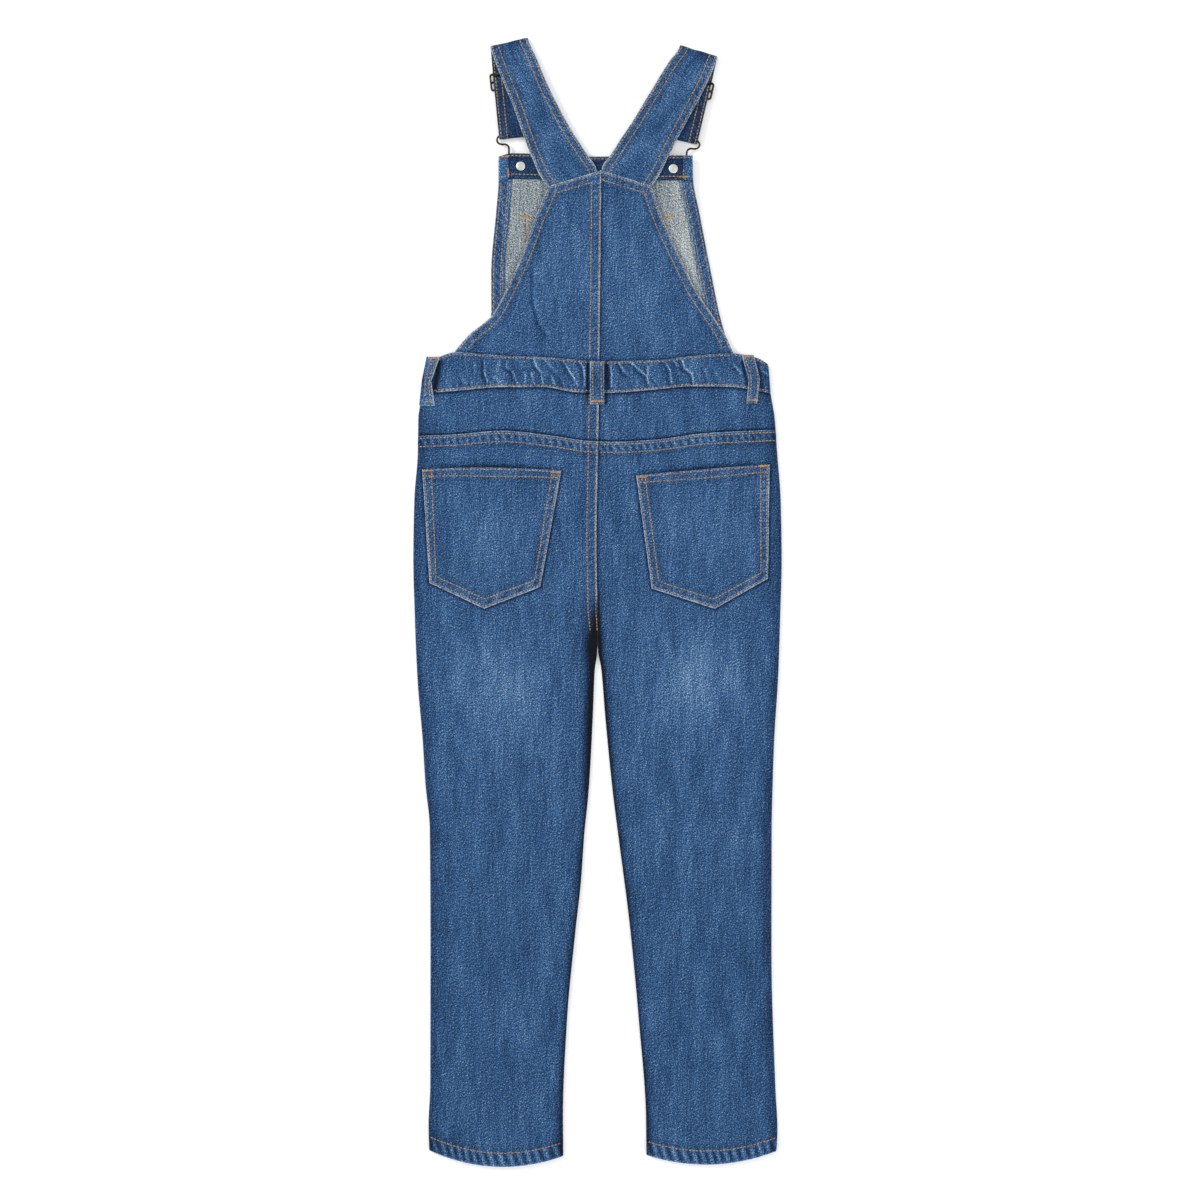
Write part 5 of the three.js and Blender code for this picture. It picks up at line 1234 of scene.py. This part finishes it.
for side, strap in STRAPS.items():
    fold, end = np.array(strap["fold"]), np.array(strap["end"])
    ahead = (end - fold) / np.linalg.norm(end - fold, axis=1, keepdims=True)
    bar = end - ahead * (TURN + STRAP / 2)
    buckle_bars[side] = bar
    length = np.linalg.norm(bar[0] - fold[0])
    above_fold = np.array([fold[0, 1] - fold[1, 1], fold[1, 0] - fold[0, 0]])  # square to the fold line
    above_fold = above_fold / np.linalg.norm(above_fold)

    def row_at(points, z):
        return [*points[0], z, *points[1], z]

    def up_front(from_fold, z):
        return row_at(fold + (bar - fold) * from_fold / length, z)

    angles = np.linspace(np.pi / 2, -np.pi / 2, 13)
    rows = np.array([
        up_front(length - 59, WIRE_LEVEL + TURN - 0.75), up_front(length - 40, WIRE_LEVEL + TURN - 0.75),
        up_front(length - 18, WIRE_LEVEL + TURN - 0.2),
        *[row_at(bar + ahead * TURN * np.cos(a), WIRE_LEVEL + TURN * np.sin(a)) for a in angles],
        up_front(length - 8, WIRE_LEVEL - TURN - 0.2), up_front(length - 24, RUN_LEVEL),
        up_front(30, RUN_LEVEL),
        *[row_at(fold - above_fold * (STRAP / 2 + FOLD_RADIUS * (1 - np.cos(a))),
                 RUN_LEVEL + FOLD_RADIUS * (1 + np.sin(a))) for a in -angles],
        *strap["run"],
    ])
    centre = (rows[:, :3] + rows[:, 3:]) / 2
    station = np.concatenate([[0], np.cumsum(np.linalg.norm(np.diff(centre, axis=0), axis=1))])
    edges = [through(np.stack([station, rows[:, k]], axis=-1)) for k in range(6)]
    bends = [station[3:16], station[19:32]]
    at = np.concatenate([np.arange(0, station[-1], 2.0), *bends, [0.4, 0.8, station[-1]]])
    at = np.unique(np.round(at / 0.4)) * 0.4
    at = at[at < station[-1]]

    def ribbon(s, share):
        left, right = (np.stack([edge(s) for edge in edges[k:k + 3]], axis=-1) for k in (0, 3))
        return left[:, None] * (1 - share)[..., None] + right[:, None] * share[..., None]

    width = np.linalg.norm(rows[:, :3] - rows[:, 3:], axis=1)
    wide = through(np.stack([station, width], axis=-1))(at)[:, None]
    near = np.array([0, 0.35, 0.9, 1.7, 2.3, 3, 4.4, 6, 7.6, 8.4, 9.1, 10.2, 12])
    from_left = columns(0 * wide, wide, near, 12)
    share = from_left / wide
    middle = ribbon(at, share)
    edge = np.minimum(from_left, wide - from_left)
    s = at[:, None] + 0 * edge
    loose = fall((station[19] - s) / 12) * fall((6 - edge) / 6)
    puckers = rope(s, STRAP_PITCH, 1.2 * edge)
    relief = (0.26 * puckers * fall(np.abs(edge - 5.4) / 6) - 0.16 * grooves(edge, STRAP_ROWS, 0.75)
              + 0.22 * uneven(from_left, s, 50, 12, 31 if side == "left" else 37) * loose)
    ends = roll(edge, 0.9) * roll(np.minimum(s, s.max() - s), 0.9)
    behind = fall((station[25] - s) / 10)
    worn = 0.78 + 0.22 * uneven(from_left, s, 34, 4, 19)
    # Painted shade: the run up the front, lying low under and beside the back run, is darker by (1 -
    # behind).
    wear_and_shade = ((0.12 + 0.36 * behind) * bell(edge - 0.5, 0.85) * worn
            + 0.13 * (puckers - 0.5) * fall(np.abs(edge - 5.4) / 5)
            - 0.05 * bell(edge - STRAP_ROWS[0], 1)
            - 0.22 * (1 - behind) + 0.06 * uneven(from_left, s, 70, 12, 12)
            - 0.1 * fall(np.abs(s - station[22]) / 14))
    ribbon_cloth = cloth(f"strap_{side}_cloth", middle, (STRAP / 2 + relief) * ends, STRAP / 2 * ends,
                         np.stack([from_left + 40, s], axis=-1), wear_and_shade, [DENIM])
    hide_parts(f"strap_{side}")

    rows_at = np.array(STRAP_ROWS)
    path_share = np.hstack([rows_at / wide, 1 - rows_at[::-1] / wide])
    path = ribbon(at, path_share)
    normal = normals_of(path)
    seams = []
    for face in (1, -1):
        out = face * (STRAP / 2 + 0.06)
        seams += [(path[:, k] + out * normal[:, k], face * normal[:, k]) for k in range(4)]
    stitches = sewn(f"strap_{side}_stitches", seams)

# ---------------------------------------------------------------------------
# Back bib. Two halves felled together at the centre, with a roof-shaped top that
# holds the strap ends; its top and its long curved sides are hemmed and double
# stitched, and its foot is sewn into the waistband.
# ---------------------------------------------------------------------------
BACK_BIB_SIDE = {
    "left": through([(416, -48.6), (399, -56), (380, -64.2), (362, -70.6), (336, -81), (312, -92.5),
                     (288, -106), (267, -129.5), (250, -143.5)]),
    "right": through([(416, 53.9), (399, 59.5), (380, 67), (362, 75), (336, 87.5), (312, 99.5),
                      (288, 115.5), (267, 128.5), (250, 136)]),
}
BACK_BIB_CORNER, BACK_BIB_PEAK, BACK_BIB_FOOT = 415.4, 431.6, 250.6
BACK_BIB_ROWS = (2.4, 9)
NEAR_BIB = np.array([0, 0.4, 1, 1.8, 2.4, 3.1, 4.6, 6.4, 8, 9, 9.7, 10.5, 12])
BIB_CENTRE_LEVEL = through([(432, 8.1), (415, 8), (404, 7.6), (394, 6.9), (380, 6.2), (360, 5.7),
                            (330, 5.4), (245, 5.2)])
BIB_SIDE_LEVEL = through([(432, 10.6), (415, 10.6), (404, 9.3), (394, 7.6), (380, 6.4), (360, 5.8),
                          (330, 5.4), (245, 5.2)])
BACK_BIB_CREASES = np.array([
    (-66, 330, -50, 262, -0.5, 12), (-66, 338, -53, 266, 0.45, 6), (-40, 404, -30, 330, 0.35, 9),
    (-22, 400, -16, 300, -0.3, 8), (28, 404, 26, 320, 0.35, 9), (44, 396, 58, 330, -0.35, 8),
    (60, 350, 84, 286, 0.35, 8), (30, 310, 52, 262, 0.4, 8), (-94, 300, -80, 258, 0.35, 7),
    (-26, 300, -38, 256, 0.35, 7), (14, 290, 12, 250, 0.3, 6), (98, 290, 92, 256, 0.3, 7),
    (-112, 276, -96, 254, 0.3, 6), (72, 268, 76, 252, 0.3, 5), (-60, 262, -62, 250, 0.3, 5),
])
# The line of the sharp curved fold on the left half, with how much it shows and its half width
BACK_BIB_FOLD = np.array([
    (-66, 332, -66, 300, 0.8, 2.2), (-66, 300, -60, 278, 1, 2.0), (-60, 278, -48, 260, 0.8, 2.2),
])


def bib_level(x, y):
    """Height of the back bib's middle: raised by the straps, most under its two corners."""
    aside = np.minimum(1, np.abs(x) / 50)
    level = BIB_CENTRE_LEVEL(y) * (1 - aside) + BIB_SIDE_LEVEL(y) * aside
    fold = 0.5 * creases(x - 3.5, y, BACK_BIB_FOLD) - 0.4 * creases(x, y, BACK_BIB_FOLD)
    return level + creases(x, y, BACK_BIB_CREASES) + fold + 0.18 * uneven(x, y, 70, 16, 17)


for side in ("left", "right"):
    outward = OUTWARD[side]
    tall = BACK_BIB_CORNER - BACK_BIB_FOOT
    slide = np.concatenate([NEAR_BIB, between(NEAR_BIB[-1], tall - 3, 2.5),
                            [tall - 3, tall - 1.4, tall - 0.5, tall]])[:, None]
    v = slide / tall
    outer_y = BACK_BIB_CORNER + (BACK_BIB_FOOT - BACK_BIB_CORNER) * v
    inner_y = BACK_BIB_PEAK + (WAIST_TOP(0) + GAP - BACK_BIB_PEAK) * v
    outer_x = BACK_BIB_SIDE[side](outer_y)
    inner_x = CENTRE_SEAM(inner_y) + (SLIT if side == "right" else 0)
    lean = np.cos(np.arctan(np.gradient(outer_x[:, 0], outer_y[:, 0])))[:, None]
    near_side = NEAR_BIB / lean
    near_side = np.minimum(near_side, near_side / near_side[:, -1:] * 17)
    near_middle = (NEAR_SEAM if side == "left" else NEAR_EDGE)[::-1]
    start, stop = outer_x - outward * near_side[:, -1:], inner_x + outward * near_middle[0]
    u = np.linspace(0, 1, 43)[1:-1]
    x = np.hstack([outer_x - outward * near_side, start + (stop - start) * u,
                   inner_x + outward * near_middle])
    u = (x - outer_x) / (inner_x - outer_x)
    bow = WAIST_TOP(x) + GAP - (BACK_BIB_FOOT + (WAIST_TOP(0) + GAP - BACK_BIB_FOOT) * u)
    y = outer_y + (inner_y - outer_y) * u + bow * v**2
    from_side = np.abs(x - outer_x) * lean
    from_top = slide * 0.95 + 0 * x
    from_foot = (tall - slide) + 0 * x
    if side == "right":
        x, y, from_side, from_top, from_foot = (a[:, ::-1] for a in (x, y, from_side, from_top, from_foot))
    aside = outward * (x - CENTRE_SEAM(y))
    edge = np.minimum(from_side, from_top)
    puckers = rope(np.where(from_top < from_side, x, y), FELL_PITCH, 0.7 * edge)
    rise = (0.4 * fall((edge - 9.8) / 1.2) + 0.34 * puckers * fall(np.abs(edge - 5.6) / 7)
            - 0.2 * grooves(edge, BACK_BIB_ROWS) + 0.35 * rope(x, 6.5, 1) * fall(from_foot / 7))
    rise = np.maximum(rise, fell_rise(side, x, y) * fall((y - 424) / 8))
    ends = roll(edge, 0.9) * roll(from_foot, 0.8) * roll(np.abs(aside), 0.8)
    # Painted shade along the foot above the waistband; darker in the hollow of the curved fold and lighter
    # on its ridge.
    wear_and_shade = (0.44 * bell(edge - 0.5, 0.8) * (0.8 + 0.2 * uneven(x, y, 34, 4, 27))
            + 0.16 * (puckers - 0.5) * fall(np.abs(edge - 5.6) / 5)
            - 0.06 * fall(np.abs(edge - 12) / 3.5) - 0.08 * fall(from_foot / 5)
            - 0.17 * creases(x, y, BACK_BIB_FOLD) + 0.1 * creases(x - 3.5, y, BACK_BIB_FOLD)
            + 0.05 * np.exp(-((x + 30) / 40) ** 2 - ((y - 330) / 50) ** 2)
            + 0.04 * np.exp(-((x - 42) / 36) ** 2 - ((y - 320) / 50) ** 2))
    if side == "left":
        wear_and_shade = wear_and_shade + seam_wear(x, y)
    else:
        # Painted shadow beside the fell, along the right half's inner edge.
        wear_and_shade = wear_and_shade - 0.24 * bell(aside, 1.7) - 0.06 * fall(aside / 8)
    bib_half = cloth(f"back_bib_{side}_cloth", np.stack([x, y, bib_level(x, y)], axis=-1),
                     (BIB_CLOTH / 2 + rise) * ends, BIB_CLOTH / 2 * ends, np.stack([x, y], axis=-1), wear_and_shade,
                     [DENIM])
    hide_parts(f"back_bib_{side}")

    def bib_top(px, py):
        return bib_level(px, py) + BIB_CLOTH / 2 + 0.42

    py = np.linspace(BACK_BIB_CORNER, BACK_BIB_FOOT, 120)
    px = BACK_BIB_SIDE[side](py)
    corner_x = float(BACK_BIB_SIDE[side](BACK_BIB_CORNER))
    roof_x = np.linspace(float(CENTRE_SEAM(BACK_BIB_PEAK)), corner_x, 40)
    roof_y = np.interp(np.abs(roof_x - roof_x[0]), (0, abs(roof_x[-1] - roof_x[0])),
                       (BACK_BIB_PEAK, BACK_BIB_CORNER))
    seams = []
    for row in BACK_BIB_ROWS:
        sx, sy = inset(px, py, -outward * row)
        keep = sy > BACK_BIB_FOOT + 2
        if row == BACK_BIB_ROWS[1]:
            keep &= sy < BACK_BIB_CORNER - 4
        seams.append(laid_on(bib_top, sx[keep], sy[keep]))
        tx, ty = inset(roof_x, roof_y, -outward * row)
        inside = outward * tx < outward * float(BACK_BIB_SIDE[side](BACK_BIB_CORNER - row)) - row * 0.9
        seams.append(laid_on(bib_top, tx[inside], ty[inside]))
    if side == "left":
        py = np.arange(420, 243.5, -1.5)
        seams += [laid_on(lambda a, b: bib_level(a, b) + BIB_CLOTH / 2 + fell_rise("left", a, b),
                          CENTRE_SEAM(py) - row, py) for row in FELL_ROWS]
    stitches = sewn(f"back_bib_{side}_stitches", seams)

# ---------------------------------------------------------------------------
# Metal. Antique brass wire buckles hooked over the bib buttons, flat sliders inside
# the straps, and buttons riveted through the bib with bright nail heads inside.
# ---------------------------------------------------------------------------


def worn_metal(name, dark, bright, rough, spots):
    """Tarnished metal: two tones in soft spots, rougher where it is dark, with fine pits."""
    material, nodes, links, shader = new_look(name)
    shader.inputs["Metallic"].default_value = 1.0
    place = nodes.new("ShaderNodeTexCoord")
    noise = nodes.new("ShaderNodeTexNoise")
    noise.inputs["Scale"].default_value = spots
    noise.inputs["Detail"].default_value = 4.0
    links.new(place.outputs["Object"], noise.inputs["Vector"])
    toned(nodes, links, noise.outputs["Fac"], [(0.38, dark), (0.66, bright)], shader)
    gloss = nodes.new("ShaderNodeMapRange")
    gloss.inputs["To Min"].default_value = rough + 0.16
    gloss.inputs["To Max"].default_value = rough - 0.06
    links.new(noise.outputs["Fac"], gloss.inputs["Value"])
    links.new(gloss.outputs["Result"], shader.inputs["Roughness"])
    bumped(nodes, links, noise.outputs["Fac"], 0.25, 0.0001, shader)
    return material


WIRE_METAL = worn_metal("antique_wire", (30, 27, 24), (98, 86, 66), 0.36, 500)
NAIL_METAL = worn_metal("nail_head", (206, 206, 202), (246, 246, 243), 0.3, 700)

# Right half of a buckle's wire, from its bar down to the middle of its loop, seen from the button
BUCKLE_SIDE = [(22.2, 28), (21.2, 25.2), (18.6, 23.6), (13.4, 23), (11, 20.6), (11, 14), (10.8, 10),
               (8.2, 6.6), (4.6, 4), (3.8, 1), (3.1, -2.2), (0, -3.9)]


def bent_path(points, steps):
    """A smooth path through points, each span a cubic whose end slopes come from the points on both
    sides, spaced by the square root of their distances."""
    points = np.concatenate([[2 * points[0] - points[1]], points, [2 * points[-1] - points[-2]]])
    gap = np.sqrt(np.linalg.norm(np.diff(points, axis=0), axis=1))
    p0, p1, p2, p3 = points[:-3], points[1:-2], points[2:-1], points[3:]
    g0, g1, g2 = (gap[k:len(gap) - 2 + k, None] for k in range(3))
    into = ((p1 - p0) / g0 - (p2 - p0) / (g0 + g1) + (p2 - p1) / g1) * g1
    out = ((p2 - p1) / g1 - (p3 - p1) / (g1 + g2) + (p3 - p2) / g2) * g1
    t = (np.arange(steps) / steps)[:, None, None]
    path = ((2 * t**3 - 3 * t**2 + 1) * p1 + (t**3 - 2 * t**2 + t) * into
            + (3 * t**2 - 2 * t**3) * p2 + (t**3 - t**2) * out)
    return np.concatenate([path.transpose(1, 0, 2).reshape(-1, 2), points[-2:-1]])


def metal_piece(name, rings, look):
    """A solid through closed rings of points, with a centre point closing each end."""
    count, sides = rings.shape[:2]
    points = np.concatenate([rings.reshape(-1, 3), rings[[0, -1]].mean(axis=1)]) * 0.001
    index = np.arange(count * sides).reshape(count, sides)
    onward = np.roll(index, -1, axis=1)
    quads = np.stack([index[:-1], onward[:-1], onward[1:], index[1:]], axis=-1).reshape(-1, 4)
    first = np.stack([onward[0], index[0], np.full(sides, count * sides)], axis=-1)
    last = np.stack([index[-1], onward[-1], np.full(sides, count * sides + 1)], axis=-1)
    mesh = bpy.data.meshes.new(name)
    mesh.from_pydata(points.tolist(), [], quads.tolist() + first.tolist() + last.tolist())
    mesh.polygons.foreach_set("use_smooth", np.ones(len(mesh.polygons), bool))
    mesh.update()
    mesh.materials.append(look)
    return put_in(name, mesh)


for side, bar in buckle_bars.items():
    button = np.array(BUTTON[side])
    ends = bar - button
    direction = (ends[1] - ends[0]) / np.linalg.norm(ends[1] - ends[0])
    centre = ends.mean(axis=0)
    half = np.linalg.norm(ends[1] - ends[0]) / 2
    tip = np.arctan2(centre[0], centre[1])
    turn = np.array([[np.cos(tip), -np.sin(tip)], [np.sin(tip), np.cos(tip)]])
    right = np.array(BUCKLE_SIDE) @ turn
    left = (np.array(BUCKLE_SIDE[-2::-1]) * (-1, 1)) @ turn
    on_bar = [centre + direction * s for s in (0.2, half / 2, half - 1, half + 0.5)]
    off_bar = [centre - direction * s for s in (half + 0.5, half - 1, half / 2, 0.2)]
    path = bent_path(np.concatenate([on_bar, right, left, off_bar]) + button, 14)
    ahead = np.gradient(path, axis=0)
    across = np.stack([-ahead[:, 1], ahead[:, 0]], axis=-1)
    across /= np.linalg.norm(across, axis=1, keepdims=True)
    around = np.arange(14) * 2 * np.pi / 14
    rings = np.empty((len(path), 14, 3))
    rings[..., :2] = path[:, None] + across[:, None] * np.cos(around)[:, None] * WIRE / 2
    rings[..., 2] = WIRE_LEVEL + np.sin(around) * WIRE / 2
    wire = metal_piece(f"buckle_{side}_wire", rings[:, ::-1], WIRE_METAL)
    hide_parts(f"buckle_{side}")
    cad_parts[f"slider_{side}"].material_slots[0].material = WIRE_METAL

head = 5.0 + BIB_CLOTH + GAP + FACING + GAP  # height of the nail head's underside
# Radius and height, from the cap on the floor up the shank to the nail head
BUTTON_PROFILE = np.array([
    (0.05, 0), (3, 0), (5.6, 0.05), (6.6, 0.2), (7.5, 0.5), (8.2, 0.95), (8.5, 1.4), (8.4, 1.8),
    (7.8, 2.15), (6.6, 2.35), (4, 2.4), (2.2, 2.4), (2.2, 4), (2.2, head), (3.6, head),
    (4.3, head + 0.05), (4.55, head + 0.22), (4.6, head + 0.42), (4.4, head + 0.66),
    (3.9, head + 0.86), (3.1, head + 1.02), (2.4, head + 1.06), (2.0, head + 0.98),
    (1.2, head + 1.02), (0.5, head + 1.16), (0.05, head + 1.2),
])
for side, (x, y) in BUTTON.items():
    around = np.arange(48) * 2 * np.pi / 48
    rings = np.empty((len(BUTTON_PROFILE), 48, 3))
    rings[..., 0] = x + BUTTON_PROFILE[:, :1] * np.cos(around)
    rings[..., 1] = y + BUTTON_PROFILE[:, :1] * np.sin(around)
    rings[..., 2] = BUTTON_PROFILE[:, 1:]
    button = metal_piece(f"button_{side}_metal", rings, NAIL_METAL)
    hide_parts(f"button_{side}")

# ---------------------------------------------------------------------------
# Studio. The garment lies face down on a white light table, which keeps its shadows
# faint, under soft light and with the camera straight above it.
# ---------------------------------------------------------------------------
bpy.ops.mesh.primitive_grid_add(x_subdivisions=2, y_subdivisions=2, size=6, location=(0, 0, -0.0004))
floor = bpy.context.object
floor.name = "floor"
paper, _, _, shader = new_look("pale_floor")
shader.inputs["Base Color"].default_value = (0.9, 0.9, 0.9, 1)
shader.inputs["Roughness"].default_value = 0.95
shader.inputs["Specular IOR Level"].default_value = 0.1
shader.inputs["Emission Color"].default_value = (1, 1, 1, 1)
shader.inputs["Emission Strength"].default_value = 0.22
floor.data.materials.append(paper)

world = bpy.data.worlds.new("soft_room")
world.use_nodes = True
world.node_tree.nodes["Background"].inputs["Color"].default_value = (1, 1, 1, 1)
world.node_tree.nodes["Background"].inputs["Strength"].default_value = 0.78
bpy.context.scene.world = world


def soft_light(name, place, size, power):
    """A round lamp that points at the garment's middle."""
    light = bpy.data.lights.new(name, "AREA")
    light.shape = "DISK"
    light.size = size
    light.energy = power
    lamp = bpy.data.objects.new(name, light)
    lamp.location = place
    lamp.rotation_euler = (-Vector(place)).to_track_quat("-Z", "Y").to_euler()
    bpy.context.scene.collection.objects.link(lamp)


soft_light("key_light", (-2.2, 1.4, 1.9), 1.1, 44)
soft_light("fill_light", (2.0, -1.2, 2.8), 2.2, 22)

camera = bpy.data.cameras.new("camera")
camera.sensor_width = 36
camera.lens = 90
viewer = bpy.data.objects.new("camera", camera)
viewer.location = (0.0025, 0.002, 3.006)
bpy.context.scene.collection.objects.link(viewer)
bpy.context.scene.camera = viewer
bpy.context.scene.view_settings.view_transform = "Standard"
